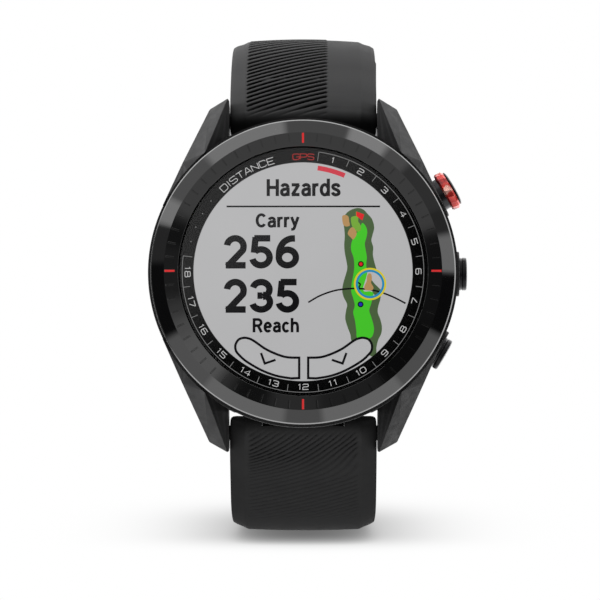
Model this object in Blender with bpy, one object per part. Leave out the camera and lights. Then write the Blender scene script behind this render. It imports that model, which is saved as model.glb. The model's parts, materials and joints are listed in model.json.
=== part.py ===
"""Golf GPS watch with a round case, three side buttons and a two-piece silicone strap.

Sizes are in millimetres. In the watch's own axes +x is 3 o'clock, +y is 12 o'clock and +z
points out through the lens. z = 0 is the rear face of the sensor window, which rests on the
wrist. The empty "watch_frame" stands the watch upright, so that in the world +X is
3 o'clock, +Z is 12 o'clock and the lens faces -Y.

Hidden helper objects named "..._shape" are the tools of the boolean modifiers.
"""

import math

import bmesh
import bpy
from mathutils import Matrix, Vector

for old in list(bpy.data.objects):
    bpy.data.objects.remove(old, do_unlink=True)

MILLIMETRE = 0.001
SHARP_DEG = 35.0  # edges bent more than this are shaded sharp
ROUND_SEGS = 48  # segments of the large round parts

# ---- sizes that several sections share ----------------------------------------
CASE_R = 23.5
CASE_BOTTOM = 1.6
CASE_TOP = 12.5

ENDS = {"upper": 1, "lower": -1}  # strap end and the sign of its y
LUG_IN = 11.35  # half of the gap between a pair of lugs
PIN_Y, PIN_Z, PIN_R = 24.0, 0.8, 1.15
PIN_HALF = 13.4

BUTTON_Z = 7.0
BUTTON_ANGLES = {"upper": 30.0, "middle": 0.0, "lower": -30.0}
WELL_FLOOR = 21.25  # distance from the watch's axis to the floor of a button's well

SCREW_X, SCREW_Y = 8.7, 15.1
SCREWS = [
    (SCREW_X, SCREW_Y),
    (-SCREW_X, SCREW_Y),
    (-SCREW_X, -SCREW_Y),
    (SCREW_X, -SCREW_Y),
]

COVER_R = 20.3
COVER_TOP = 2.9
COVER_SEAT_Z = COVER_TOP + 0.05  # ledge in the case above the rear cover
GROOVE_R_IN, GROOVE_R_OUT = 19.25, 20.05  # groove for the rear gasket
GROOVE_PLAY = 0.05


# ---- materials ----------------------------------------------------------------
MATERIALS = {}


def add_material(name, colour, roughness, metallic=0.0):
    material = bpy.data.materials.new(name)
    material.use_nodes = True
    shader = material.node_tree.nodes["Principled BSDF"]
    shader.inputs["Base Color"].default_value = (*colour, 1.0)
    shader.inputs["Roughness"].default_value = roughness
    shader.inputs["Metallic"].default_value = metallic
    material.diffuse_color = (*colour, 1.0)
    MATERIALS[name] = material


add_material("case_polymer", colour=(0.055, 0.055, 0.058), roughness=0.5)
add_material("bezel_ceramic", colour=(0.012, 0.012, 0.013), roughness=0.08)
add_material("lens_glass", colour=(0.8, 0.82, 0.84), roughness=0.02)
add_material("dial_print", colour=(0.008, 0.008, 0.009), roughness=0.3)
add_material("display_panel", colour=(0.48, 0.48, 0.49), roughness=0.4)
add_material("seal_rubber", colour=(0.02, 0.02, 0.02), roughness=0.7)
add_material("chassis_plastic", colour=(0.05, 0.05, 0.055), roughness=0.5)
add_material("circuit_board", colour=(0.02, 0.12, 0.06), roughness=0.45)
add_material("shield_steel", colour=(0.6, 0.6, 0.6), roughness=0.35, metallic=1.0)
add_material("antenna_copper", colour=(0.75, 0.42, 0.22), roughness=0.35, metallic=1.0)
add_material("battery_foil", colour=(0.45, 0.46, 0.48), roughness=0.4, metallic=0.6)
add_material("motor_steel", colour=(0.55, 0.55, 0.56), roughness=0.3, metallic=1.0)
add_material("cover_polymer", colour=(0.03, 0.03, 0.032), roughness=0.45)
add_material("sensor_glass", colour=(0.02, 0.02, 0.022), roughness=0.05)
add_material("contact_gold", colour=(0.83, 0.62, 0.25), roughness=0.25, metallic=1.0)
add_material("screw_steel", colour=(0.45, 0.45, 0.46), roughness=0.3, metallic=1.0)
add_material("button_black", colour=(0.03, 0.03, 0.032), roughness=0.3, metallic=0.8)
add_material("button_red", colour=(0.55, 0.03, 0.02), roughness=0.25, metallic=1.0)
add_material("strap_silicone", colour=(0.03, 0.03, 0.031), roughness=0.6)
add_material("buckle_steel", colour=(0.04, 0.04, 0.042), roughness=0.3, metallic=1.0)


# ---- objects ------------------------------------------------------------------
def put(obj, parent, at, turn):
    """Links an object and places it: at in millimetres, turn in degrees."""
    bpy.context.scene.collection.objects.link(obj)
    obj.parent = parent
    obj.location = Vector(at) * MILLIMETRE
    obj.rotation_euler = [math.radians(angle) for angle in turn]


def add_frame(name, parent=None, at=(0, 0, 0), turn=(0, 0, 0)):
    frame = bpy.data.objects.new(name, None)
    frame.empty_display_size = 0.005
    put(frame, parent, at, turn)
    return frame


WATCH = add_frame("watch_frame", turn=(90, 0, 0))

# A button's frame has z outwards along its push axis, and its origin on the watch's axis.
BUTTON_FRAMES = {
    name: add_frame(f"{name}_button_axis", WATCH, (0, 0, BUTTON_Z), (0, 90, angle))
    for name, angle in BUTTON_ANGLES.items()
}


def add_piece(name, shape, material=None, parent=WATCH, at=(0, 0, 0), turn=(0, 0, 0)):
    """Turns a bmesh drawn in millimetres into a placed object."""
    bmesh.ops.remove_doubles(shape, verts=shape.verts, dist=1e-5)
    bmesh.ops.recalc_face_normals(shape, faces=shape.faces)
    bmesh.ops.scale(shape, vec=(MILLIMETRE,) * 3, verts=shape.verts)
    mesh = bpy.data.meshes.new(name)
    shape.to_mesh(mesh)
    shape.free()
    obj = bpy.data.objects.new(name, mesh)
    put(obj, parent, at, turn)
    if material is not None:
        mesh.materials.append(MATERIALS[material])
    mesh.shade_smooth()
    mesh.set_sharp_from_angle(angle=math.radians(SHARP_DEG))
    return obj


def cut(target, name, shape, operation="DIFFERENCE", **placing):
    """Adds the shape as a hidden helper and takes it away from the target."""
    tool = add_piece(name, shape, **placing)
    tool.hide_render = True
    tool.display_type = "WIRE"
    modifier = target.modifiers.new(operation.lower(), "BOOLEAN")
    modifier.operation = operation
    modifier.solver = "EXACT"
    modifier.object = tool


def join(target, name, shape, **placing):
    """Adds the shape as a hidden helper and merges it into the target."""
    cut(target, name, shape, operation="UNION", **placing)


# ---- shapes, all in millimetres -----------------------------------------------
def turned(profile, segs=ROUND_SEGS):
    """A closed profile of (radius, height) points turned round the z axis.

    A solid that is closed on the axis has a profile that starts and ends at radius 0.
    """
    shape = bmesh.new()
    points = [shape.verts.new((radius, 0.0, z)) for radius, z in profile]
    pairs = list(zip(points, points[1:]))
    on_axis = profile[0][0] < 1e-6 and profile[-1][0] < 1e-6
    if not on_axis:
        pairs.append((points[-1], points[0]))
    edges = [shape.edges.new(pair) for pair in pairs]
    bmesh.ops.spin(
        shape,
        geom=points + edges,
        cent=(0, 0, 0),
        axis=(0, 0, 1),
        angle=2 * math.pi,
        steps=segs,
        use_merge=True,
    )
    return shape


def loft(rings):
    """Closed rings of equal size joined one to the next, with both ends capped."""
    shape = bmesh.new()
    loops = [[shape.verts.new(point) for point in ring] for ring in rings]
    count = len(loops[0])
    for near, far in zip(loops, loops[1:]):
        for i in range(count):
            j = (i + 1) % count
            shape.faces.new((near[i], near[j], far[j], far[i]))
    shape.faces.new(loops[0][::-1])
    shape.faces.new(loops[-1])
    return shape


def circle(radius, z, segs):
    angles = [2 * math.pi * i / segs for i in range(segs)]
    return [(radius * math.cos(angle), radius * math.sin(angle), z) for angle in angles]


def disc(radius, low, high, segs=ROUND_SEGS, chamfer=0.0):
    """A round plate from z = low to high whose two faces are each one polygon."""
    rings = [(radius, low), (radius, high)]
    if chamfer:
        rings = [
            (radius - chamfer, low),
            (radius, low + chamfer),
            (radius, high - chamfer),
            (radius - chamfer, high),
        ]
    return loft([circle(ring_radius, z, segs) for ring_radius, z in rings])


def block(*ranges):
    """A box given by its (low, high) ranges in x, y and z."""
    shape = bmesh.new()
    for corner in bmesh.ops.create_cube(shape, size=1.0)["verts"]:
        corner.co = [
            low if value < 0 else high for value, (low, high) in zip(corner.co, ranges)
        ]
    return shape


def extrude(points, shift, shape=None):
    """A polygon of 3D points swept along the vector shift."""
    shape = shape or bmesh.new()
    face = shape.faces.new([shape.verts.new(point) for point in points])
    swept = bmesh.ops.extrude_face_region(shape, geom=[face])["geom"]
    far = [item for item in swept if isinstance(item, bmesh.types.BMVert)]
    bmesh.ops.translate(shape, vec=shift, verts=far)
    return shape


def prism(points, low, high):
    """A polygon of (x, y) points extruded from z = low to high."""
    return extrude([(x, y, low) for x, y in points], (0, 0, high - low))


def side_prism(points, half):
    """A polygon of (y, z) points extruded from x = -half to half."""
    return extrude([(-half, y, z) for y, z in points], (2 * half, 0, 0))


def turn_z_to_x(shape):
    quarter = Matrix.Rotation(math.pi / 2, 3, "Y")
    bmesh.ops.rotate(shape, cent=(0, 0, 0), matrix=quarter, verts=shape.verts)


def rod(radius, half, segs=16):
    """A round bar from x = -half to half."""
    shape = bmesh.new()
    bmesh.ops.create_cone(
        shape, cap_ends=True, segments=segs, radius1=radius, radius2=radius, depth=2 * half
    )
    turn_z_to_x(shape)
    return shape


def rounded(half_x, half_y, radius, steps=3):
    """Points of a rectangle with rounded corners, each corner drawn in so many steps."""
    points = []
    for sign_x, sign_y, start in ((1, 1, 0), (-1, 1, 90), (-1, -1, 180), (1, -1, 270)):
        centre_x = sign_x * (half_x - radius)
        centre_y = sign_y * (half_y - radius)
        for i in range(steps + 1):
            angle = math.radians(start + 90 * i / steps)
            points.append(
                (centre_x + radius * math.cos(angle), centre_y + radius * math.sin(angle))
            )
    return points


def arc_band(outer, inner, start, sweep, steps):
    """Points of a flat band between two radii that covers sweep degrees from start."""
    points = []
    for radius, order in ((outer, range(steps + 1)), (inner, range(steps, -1, -1))):
        for i in order:
            angle = math.radians(start + sweep * i / steps)
            points.append((radius * math.cos(angle), radius * math.sin(angle)))
    return points


# =============================================================================
# Case
# =============================================================================
CAVITY_R = 19.0
CAVITY_BOTTOM, CAVITY_CLEAR_TOP = 0.5, 14.0  # the cutting shape runs past both faces
FLANGE_R = 18.0  # inner flange that carries the lens stack
FLANGE_Z = 11.9
GROOVE_TOP = 3.65
POCKET_Y = 21.0  # flat that the strap end turns against
POCKET_TOP = 9.0
BOSS_R, BOSS_BASE, BOSS_TOP = 3.4, 20.5, 23.75
BORE_R, WELL_R = 2.4, 2.65
SCREW_BOSS_HALF = 1.9
SCREW_BOSS_REACH = 19.6  # radius at which the boss's web runs into the wall

# (radius, z) of the outer wall; the bore at 17.0 lies inside the later cavity cut.
CASE_PROFILE = [
    (17.0, CASE_BOTTOM), (21.9, CASE_BOTTOM), (23.1, 2.6), (CASE_R, 4.2),
    (CASE_R, 12.15), (23.25, CASE_TOP), (17.0, CASE_TOP),
]

# (radius, z) of the space inside, with the cover's seat and the gasket groove.
CAVITY_PROFILE = [
    (0.0, CAVITY_BOTTOM), (COVER_R + 0.1, CAVITY_BOTTOM), (COVER_R + 0.1, COVER_SEAT_Z),
    (GROOVE_R_OUT, COVER_SEAT_Z), (GROOVE_R_OUT, GROOVE_TOP),
    (GROOVE_R_IN, GROOVE_TOP), (GROOVE_R_IN, COVER_SEAT_Z),
    (CAVITY_R, COVER_SEAT_Z), (CAVITY_R, FLANGE_Z),
    (FLANGE_R, FLANGE_Z), (FLANGE_R, CAVITY_CLEAR_TOP), (0.0, CAVITY_CLEAR_TOP),
]

# (x, y, z) corners of the lug at +x +y. A lug is their hull: a broad outer facet that falls
# from the bezel to the tip, and a narrow inner facet that faces the strap.
LUG_CORNERS = [
    (21.3, 10.05, 12.3), (18.3, 16.85, 9.8), (14.9, 18.1, 12.3),
    (11.55, 27.1, 4.85), (14.35, 25.5, 3.6), (LUG_IN, 20.6, 5.0),
    (LUG_IN, 26.9, 2.9), (LUG_IN, 26.2, -2.3), (13.7, 24.6, -2.1),
    (LUG_IN, 22.3, -2.0), (15.2, 21.0, -0.6), (21.0, 10.2, 2.4),
    (18.6, 14.8, 1.6), (LUG_IN, 16.6, 1.6), (LUG_IN, 16.6, 6.0),
    (17.0, 12.0, 12.3), (17.0, 11.0, 2.4),
]
LUG_BEVEL = 0.22

# (radius, distance from the watch's axis) of a button's bore and the wider well outside it.
BORE_PROFILE = [
    (0.0, 16.0), (BORE_R, 16.0), (BORE_R, WELL_FLOOR),
    (WELL_R, WELL_FLOOR), (WELL_R, 26.0), (0.0, 26.0),
]


def lug_shape(sign_x, sign_y):
    shape = bmesh.new()
    for x, y, z in LUG_CORNERS:
        shape.verts.new((sign_x * x, sign_y * y, z))
    hull = bmesh.ops.convex_hull(shape, input=shape.verts)
    loose = {
        item
        for item in hull["geom_interior"] + hull["geom_unused"]
        if isinstance(item, bmesh.types.BMVert)
    }
    bmesh.ops.delete(shape, geom=list(loose), context="VERTS")
    bmesh.ops.dissolve_limit(
        shape, angle_limit=math.radians(0.5), verts=shape.verts, edges=shape.edges
    )
    bmesh.ops.bevel(
        shape,
        geom=list(shape.edges),
        offset=LUG_BEVEL,
        segments=1,
        affect="EDGES",
        clamp_overlap=True,
    )
    return shape


def join_lugs(body):
    for sign_x in (1, -1):
        for sign_y in (1, -1):
            name = f"lug_shape_{sign_x}_{sign_y}".replace("-", "m")
            join(body, name, lug_shape(sign_x, sign_y))


def cut_strap_ends(body):
    """Clears the space between each pair of lugs and drills them for the pin."""
    for name, sign in ENDS.items():
        y_range = sorted((sign * POCKET_Y, sign * 32.0))
        pocket = block((-LUG_IN, LUG_IN), y_range, (-6.0, POCKET_TOP))
        cut(body, f"pocket_shape_{name}", pocket)
        hole = rod(PIN_R + 0.1, PIN_HALF + 0.2)
        cut(body, f"pin_hole_shape_{name}", hole, at=(0, sign * PIN_Y, PIN_Z))


def add_screw_bosses(body):
    for i, (x, y) in enumerate(SCREWS):
        # The boss stretches outwards as a web that joins it to the wall.
        boss = block(
            (-SCREW_BOSS_HALF, SCREW_BOSS_REACH - math.hypot(x, y)),
            (-SCREW_BOSS_HALF, SCREW_BOSS_HALF),
            (3.75, 6.9),
        )
        angle = math.degrees(math.atan2(y, x))
        join(body, f"screw_boss_shape_{i}", boss, at=(x, y, 0), turn=(0, 0, angle))
        cut(body, f"screw_hole_shape_{i}", disc(0.78, 2.0, 6.4, 12), at=(x, y, 0))


def case_body():
    body = add_piece("case_body", turned(CASE_PROFILE), "case_polymer")
    join_lugs(body)
    for name, frame in BUTTON_FRAMES.items():
        boss = disc(BOSS_R, BOSS_BASE, BOSS_TOP, 24, chamfer=0.15)
        join(body, f"boss_shape_{name}", boss, parent=frame)
    cut(body, "cavity_shape", turned(CAVITY_PROFILE))
    cut_strap_ends(body)
    for name, frame in BUTTON_FRAMES.items():
        cut(body, f"bore_shape_{name}", turned(BORE_PROFILE, 20), parent=frame)
    add_screw_bosses(body)


case_body()


# =============================================================================
# Bezel, lens stack and the parts inside the case
# =============================================================================
BEZEL_BOTTOM = CASE_TOP + 0.06
BEZEL_R = 23.1
BEZEL_BORE = 18.85
STACK_GAP = 0.05  # between gasket, dial ring and lens
GASKET_TOP = 13.1
DIAL_BOTTOM, DIAL_TOP = GASKET_TOP + STACK_GAP, 13.6
DIAL_R_IN, DIAL_R_OUT = 16.55, 18.65
LENS_R, LENS_BOTTOM, LENS_TOP = BEZEL_BORE - 0.1, DIAL_TOP + STACK_GAP, 14.95
GASKET_R_IN = 17.85
CHASSIS_BOTTOM = 9.95  # the antenna stands on the same level

# (radius, z)
BEZEL_PROFILE = [
    (BEZEL_BORE, BEZEL_BOTTOM), (22.9, BEZEL_BOTTOM), (BEZEL_R, 12.75), (BEZEL_R, 13.0),
    (21.05, 15.08), (19.1, 15.3), (BEZEL_BORE, 15.05),
]


def ring(inner, outer, low, high):
    return turned([(inner, low), (outer, low), (outer, high), (inner, high)])


def lens_stack():
    add_piece("bezel", turned(BEZEL_PROFILE), "bezel_ceramic")
    add_piece("lens", disc(LENS_R, LENS_BOTTOM, LENS_TOP, chamfer=0.2), "lens_glass")
    add_piece("dial_ring", ring(DIAL_R_IN, DIAL_R_OUT, DIAL_BOTTOM, DIAL_TOP), "dial_print")
    gasket = ring(GASKET_R_IN, DIAL_R_OUT, BEZEL_BOTTOM, GASKET_TOP)
    add_piece("lens_gasket", gasket, "seal_rubber")
    add_piece("display_module", disc(17.7, 11.45, 13.05), "display_panel")


def inside_parts():
    add_piece("chassis", disc(17.9, CHASSIS_BOTTOM, 11.35, 36), "chassis_plastic")
    add_piece("main_board", disc(18.3, 8.95, 9.85, 36), "circuit_board")
    add_piece("rf_shield", block((-7.5, 7.5), (-5.0, 7.0), (7.2, 8.88)), "shield_steel")
    battery = prism(rounded(10.0, 12.0, 1.2, 2), 3.75, 7.1)
    add_piece("battery", battery, "battery_foil", at=(1, 0, 0))
    motor = disc(3.9, 3.2, 5.9, 20, chamfer=0.2)
    add_piece("vibration_motor", motor, "motor_steel", at=(-13.3, 0, 0))
    # The antenna follows the inside of the wall on the side away from the buttons.
    strip = arc_band(outer=18.8, inner=18.15, start=100, sweep=160, steps=20)
    add_piece("gps_antenna", prism(strip, CHASSIS_BOTTOM, 11.3), "antenna_copper")


lens_stack()
inside_parts()


# =============================================================================
# Rear of the case
# =============================================================================
SENSOR_BORE = 5.8
WINDOW_SEAT_R, WINDOW_SEAT_Z = 7.75, 1.0
CONTACT_Y = -14.2
CONTACT_PITCH = 1.9
CONTACT_XS = [CONTACT_PITCH * (i - 1.5) for i in range(4)]
CONTACT_BLOCK_X, CONTACT_BLOCK_Y = 4.25, 1.45  # half sizes
CONTACT_BLOCK_PLAY = 0.1
LED_HALF_X, LED_HALF_Y = 0.9, 0.7
LEDS = [(0, 3.4), (-3.0, -1.8), (3.0, -1.8)]

# All four profiles are (radius, z).
COVER_PROFILE = [
    (SENSOR_BORE, COVER_TOP), (SENSOR_BORE, WINDOW_SEAT_Z),
    (WINDOW_SEAT_R, WINDOW_SEAT_Z), (WINDOW_SEAT_R, 0.35), (9.9, 0.35),
    (11.2, 1.5), (20.0, 1.5), (COVER_R, 1.8), (COVER_R, COVER_TOP),
]
COVER_HOLE_PROFILE = [(0, 1.0), (1.6, 1.0), (1.6, 2.2), (0.95, 2.2), (0.95, 3.4), (0, 3.4)]
SCREW_PROFILE = [(0, 1.6), (1.5, 1.6), (1.5, 2.15), (0.7, 2.15), (0.7, 6.2), (0, 6.2)]
REAR_GASKET_PROFILE = [
    (GROOVE_R_IN + GROOVE_PLAY, 2.97), (GROOVE_R_OUT - GROOVE_PLAY, 2.97),
    (GROOVE_R_OUT - GROOVE_PLAY, 3.4), (19.65, 3.6), (GROOVE_R_IN + GROOVE_PLAY, 3.4),
]


def rear_cover():
    cover = add_piece("rear_cover", turned(COVER_PROFILE), "cover_polymer")
    for i, (x, y) in enumerate(SCREWS):
        cut(cover, f"cover_hole_shape_{i}", turned(COVER_HOLE_PROFILE, 12), at=(x, y, 0))
    outline = rounded(
        CONTACT_BLOCK_X + CONTACT_BLOCK_PLAY, CONTACT_BLOCK_Y + CONTACT_BLOCK_PLAY, 0.8, 2
    )
    cut(cover, "contact_slot_shape", prism(outline, 1.0, 3.4), at=(0, CONTACT_Y, 0))


def charge_contacts():
    outline = rounded(CONTACT_BLOCK_X, CONTACT_BLOCK_Y, 0.75, 2)
    holder = add_piece(
        "contact_block", prism(outline, 1.8, 3.2), "chassis_plastic", at=(0, CONTACT_Y, 0)
    )
    for i, x in enumerate(CONTACT_XS):
        place = (x, CONTACT_Y, 0)
        cut(holder, f"pin_slot_shape_{i}", disc(0.62, 1.0, 4.0, 10), at=place)
        contact = disc(0.55, 1.55, 3.55, 10, chamfer=0.12)
        add_piece(f"charge_contact_{i + 1}", contact, "contact_gold", at=place)


def cover_screws():
    for i, (x, y) in enumerate(SCREWS):
        screw = add_piece(
            f"cover_screw_{i + 1}", turned(SCREW_PROFILE, 12), "screw_steel", at=(x, y, 0)
        )
        # Six-sided drive recess in the head.
        cut(screw, f"drive_shape_{i}", disc(0.7, 1.2, 2.0, 6), at=(x, y, 0))


def sensor_board():
    board = add_piece("sensor_board", disc(7.0, 2.96, 3.5, 24), "circuit_board")
    for i, (x, y) in enumerate(LEDS):
        led = block(
            (x - LED_HALF_X, x + LED_HALF_X), (y - LED_HALF_Y, y + LED_HALF_Y), (2.2, 3.2)
        )
        join(board, f"led_shape_{i}", led)
    join(board, "diode_shape", block((-1.3, 1.3), (-1.0, 1.2), (2.3, 3.2)))


rear_cover()
charge_contacts()
cover_screws()
add_piece("rear_gasket", turned(REAR_GASKET_PROFILE), "seal_rubber")
window = disc(WINDOW_SEAT_R - 0.1, 0.0, WINDOW_SEAT_Z - 0.05, 32, chamfer=0.12)
add_piece("sensor_window", window, "sensor_glass")
sensor_board()


# =============================================================================
# Buttons. All profiles are (radius, distance from the watch's axis).
# =============================================================================
STEM_R = 1.2
CAP_UNDERSIDE = 23.1
RING_BORE = 2.52
BUSHING_BORE, BUSHING_R = 1.3, 2.33

# Inner end of the stem, with the groove that holds the clip.
STEM = [
    (0.0, 17.9), (STEM_R, 17.9), (STEM_R, 18.22), (0.88, 18.22), (0.88, 18.66),
    (STEM_R, 18.66), (STEM_R, CAP_UNDERSIDE),
]
PLUNGER_PROFILE = STEM + [(2.45, CAP_UNDERSIDE), (2.45, 26.0), (0, 26.0)]
RED_RING_PROFILE = [
    (RING_BORE, 24.6), (2.95, 24.6), (3.1, 24.75), (3.1, 25.85), (2.85, 26.05),
    (RING_BORE, 26.05),
]
UPPER_CAP_PROFILE = [(0, 26.1), (2.72, 26.1), (2.72, 26.3), (2.3, 26.47), (1.2, 26.56), (0, 26.58)]
PLAIN_CAP_PROFILE = STEM + [
    (2.35, CAP_UNDERSIDE), (2.5, 23.25), (2.5, 24.62), (2.3, 24.8), (1.3, 24.97), (0, 25.0),
]
# Sleeve round the stem, with an inner groove for the seal.
BUSHING_PROFILE = [
    (BUSHING_BORE, 18.7), (BUSHING_R, 18.7), (BUSHING_R, 21.2), (BUSHING_BORE, 21.2),
    (BUSHING_BORE, 20.35), (1.85, 20.35), (1.85, 19.6), (BUSHING_BORE, 19.6),
]
SEAL_PROFILE = [
    (1.26, 19.85), (1.42, 19.65), (1.68, 19.65), (1.8, 19.85),
    (1.8, 20.1), (1.68, 20.3), (1.42, 20.3), (1.26, 20.1),
]


def spring_coil(radius, wire, low, high, turns, sides=5, per_turn=9):
    """A coil of round wire; wire is the wire's radius, sides its number of facets."""
    rings = []
    pitch = (high - low - 2 * wire) / turns
    slope = math.atan2(pitch, 2 * math.pi * radius)
    for i in range(int(turns * per_turn) + 1):
        angle = 2 * math.pi * i / per_turn
        cosine, sine = math.cos(angle), math.sin(angle)
        centre = Vector((radius * cosine, radius * sine, low + wire + pitch * i / per_turn))
        out = Vector((cosine, sine, 0))
        along = Vector((-sine * math.cos(slope), cosine * math.cos(slope), math.sin(slope)))
        across = out.cross(along)
        rings.append(
            [
                centre
                + out * wire * math.cos(2 * math.pi * k / sides)
                + across * wire * math.sin(2 * math.pi * k / sides)
                for k in range(sides)
            ]
        )
    return loft(rings)


def button(name, frame):
    def part(suffix, shape, material):
        return add_piece(f"{name}_button_{suffix}", shape, material, frame)

    if name == "upper":
        part("plunger", turned(PLUNGER_PROFILE, 20), "button_black")
        part("ring", turned(RED_RING_PROFILE, 24), "button_red")
        part("cap", turned(UPPER_CAP_PROFILE, 20), "button_black")
    else:
        part("cap", turned(PLAIN_CAP_PROFILE, 20), "button_black")
    part("bushing", turned(BUSHING_PROFILE, 20), "button_black")
    part("seal", turned(SEAL_PROFILE, 16), "seal_rubber")
    coil = spring_coil(radius=1.7, wire=0.15, low=WELL_FLOOR + 0.03, high=23.02, turns=2.6)
    part("spring", coil, "screw_steel")
    clip = arc_band(outer=1.85, inner=0.95, start=35, sweep=290, steps=12)
    part("clip", prism(clip, 18.3, 18.58), "screw_steel")
    switch = part("switch", block((-1.6, 1.6), (-1.75, 1.75), (15.8, 16.9)), "chassis_plastic")
    join(switch, f"nub_shape_{name}", disc(0.6, 16.5, 17.2, 10), parent=frame)


for button_name, button_frame in BUTTON_FRAMES.items():
    button(button_name, button_frame)


# =============================================================================
# Strap. Each half is drawn in its own frame: origin on its lug pin, y away from the case,
# z towards the lens side. The lower half's frame is turned half round.
#
# A place along the strap is its distance from the lug pin along the centre line.
# =============================================================================
STRAP_T = 2.9
STRAP_HALF = LUG_IN - 0.15  # half width at the lugs
END_HALF = {"upper": 10.0, "lower": 9.8}  # half width once narrowed
TAPER = {"upper": (4.0, 64.0), "lower": (14.0, 60.0)}  # where it narrows
SHOULDER = 1.35  # how far the shoulders fall from the outer face
SHOULDER_WIDTH = 2.3
DOME = {"upper": 0.32, "lower": 0.2}  # how far the outer face falls to its edges

START_DEG = 36.0  # slope of the strap where it leaves the lugs
STRAIGHT_LEN = 4.0
BEND_R = 24.15
BACK_R = 110.0
BEND_LEN = BEND_R * math.radians(90.0 - START_DEG)
UPPER_BACK_LEN, UPPER_FLAT_LEN = 24.0, 23.0
UPPER_LEN = STRAIGHT_LEN + BEND_LEN + UPPER_BACK_LEN + UPPER_FLAT_LEN
LOWER_LEN = 118.0

FLEX = {"upper": 38.0, "lower": 42.0}  # flex line, where each half's two pieces meet
FLEX_TAPER = [(1.5, 0.0), (0.35, 0.95)]  # (distance from the flex line, drop)

FIRST_HOLE, HOLE_PITCH, HOLE_COUNT = 66.0, 5.0, 10

BARREL_R = 2.6
CONNECTOR_HALF = 6.2
CONNECTOR_POCKET_HALF = CONNECTOR_HALF + 0.15
HOOK_R_OUT, HOOK_R_IN = 1.95, PIN_R + 0.1
HOOK_MOUTH_DEG = 250

BAR_R, BAR_HALF = 0.7, 11.8  # spring bar of the buckle
TONGUE_SLOT_HALF = 1.75

# Stations are (distance, drop, narrow): drop is how far both faces move in, and narrow is
# how far both edges move in.
ROOT_STATIONS = [(1.2, -0.95, 0.0), (3.5, -0.75, 0.0), (6.5, -0.3, 0.0), (9.5, 0.0, 0.0)]
BUCKLE_STATIONS = [(UPPER_LEN - 1.6, 0.0, 0.0), (UPPER_LEN + 0.4, 0.1, 0.3)]
TIP_STATIONS = [
    (LOWER_LEN - 6.5, 0.0, 0.0), (LOWER_LEN - 4.0, 0.0, 0.9), (LOWER_LEN - 2.0, 0.1, 2.6),
    (LOWER_LEN - 0.6, 0.3, 5.0), (LOWER_LEN, 0.6, 6.6),
]

# (y, z) outline of the latch, along and across the strap where it leaves the lugs.
LATCH_OUTLINE = [
    (2.2, -1.5), (5.2, -1.5), (5.2, -2.3), (4.4, -2.6), (3.4, -2.1), (2.2, -2.1),
]


def path(side, distance):
    """(y, z, slope) of the strap's centre line.

    The slope is in radians below the y axis. The strap leaves the lugs straight at
    START_DEG, bends until it is square to the case, then closes gently. The upper half
    ends with a straight length.
    """
    slope = math.radians(START_DEG)
    straight = min(distance, STRAIGHT_LEN)
    y, z = straight * math.cos(slope), -straight * math.sin(slope)
    left = distance - straight
    back_len = UPPER_BACK_LEN if side == "upper" else math.inf
    for radius, length in ((BEND_R, BEND_LEN), (BACK_R, back_len)):
        step = min(left, length)
        end_slope = slope + step / radius
        y += radius * (math.sin(end_slope) - math.sin(slope))
        z -= radius * (math.cos(slope) - math.cos(end_slope))
        slope = end_slope
        left -= step
    return y + left * math.cos(slope), z - left * math.sin(slope), slope


def frame_on_path(name, side, distance):
    """A frame with y along the strap and z out of its outer face."""
    y, z, slope = path(side, distance)
    return add_frame(name, STRAPS[side], (0, y, z), (-math.degrees(slope), 0, 0))


STRAPS = {
    "upper": add_frame("upper_strap_axis", WATCH, (0, PIN_Y, PIN_Z)),
    "lower": add_frame("lower_strap_axis", WATCH, (0, -PIN_Y, PIN_Z), (0, 0, 180)),
}
BUCKLE = frame_on_path("buckle_axis", "upper", UPPER_LEN)


def half_width(side, distance):
    """Half the strap's width, eased from its width at the lugs to the narrower end."""
    start, stop = TAPER[side]
    part = min(1.0, max(0.0, (distance - start) / (stop - start)))
    eased = part * part * (3 - 2 * part)
    return STRAP_HALF + (END_HALF[side] - STRAP_HALF) * eased


def section(side, distance, drop, narrow):
    """Cross-section: a domed outer face with sloped shoulders and a flat wrist side."""
    y, z, slope = path(side, distance)
    face = STRAP_T / 2 - drop
    edge = half_width(side, distance) - narrow
    inner = edge - SHOULDER_WIDTH
    shoulder = min(face, max(face - SHOULDER, 0.6 - face))
    dome = min(DOME[side], max(0.0, face - shoulder) * 0.25)
    # (x, height above the centre line)
    outline = [
        (-edge, 0.3 - face),
        (-edge, shoulder),
        (-inner, face - dome),
        (-inner / 2, face - dome / 4),
        (inner / 2, face - dome / 4),
        (inner, face - dome),
        (edge, shoulder),
        (edge, 0.3 - face),
        (edge - 0.5, -face),
        (0.5 - edge, -face),
    ]
    return [
        (x, y + height * math.sin(slope), z + height * math.cos(slope))
        for x, height in outline
    ]


def strap_loft(side, stations):
    return loft([section(side, *station) for station in stations])


def plain_stations(start, stop, step):
    """Full-size stations from start, one each step, up to stop."""
    stations = []
    distance = start
    while distance < stop:
        stations.append((distance, 0.0, 0.0))
        distance += step
    return stations


def after_flex(side):
    return [(FLEX[side] + away, drop, 0.0) for away, drop in reversed(FLEX_TAPER)]


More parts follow.
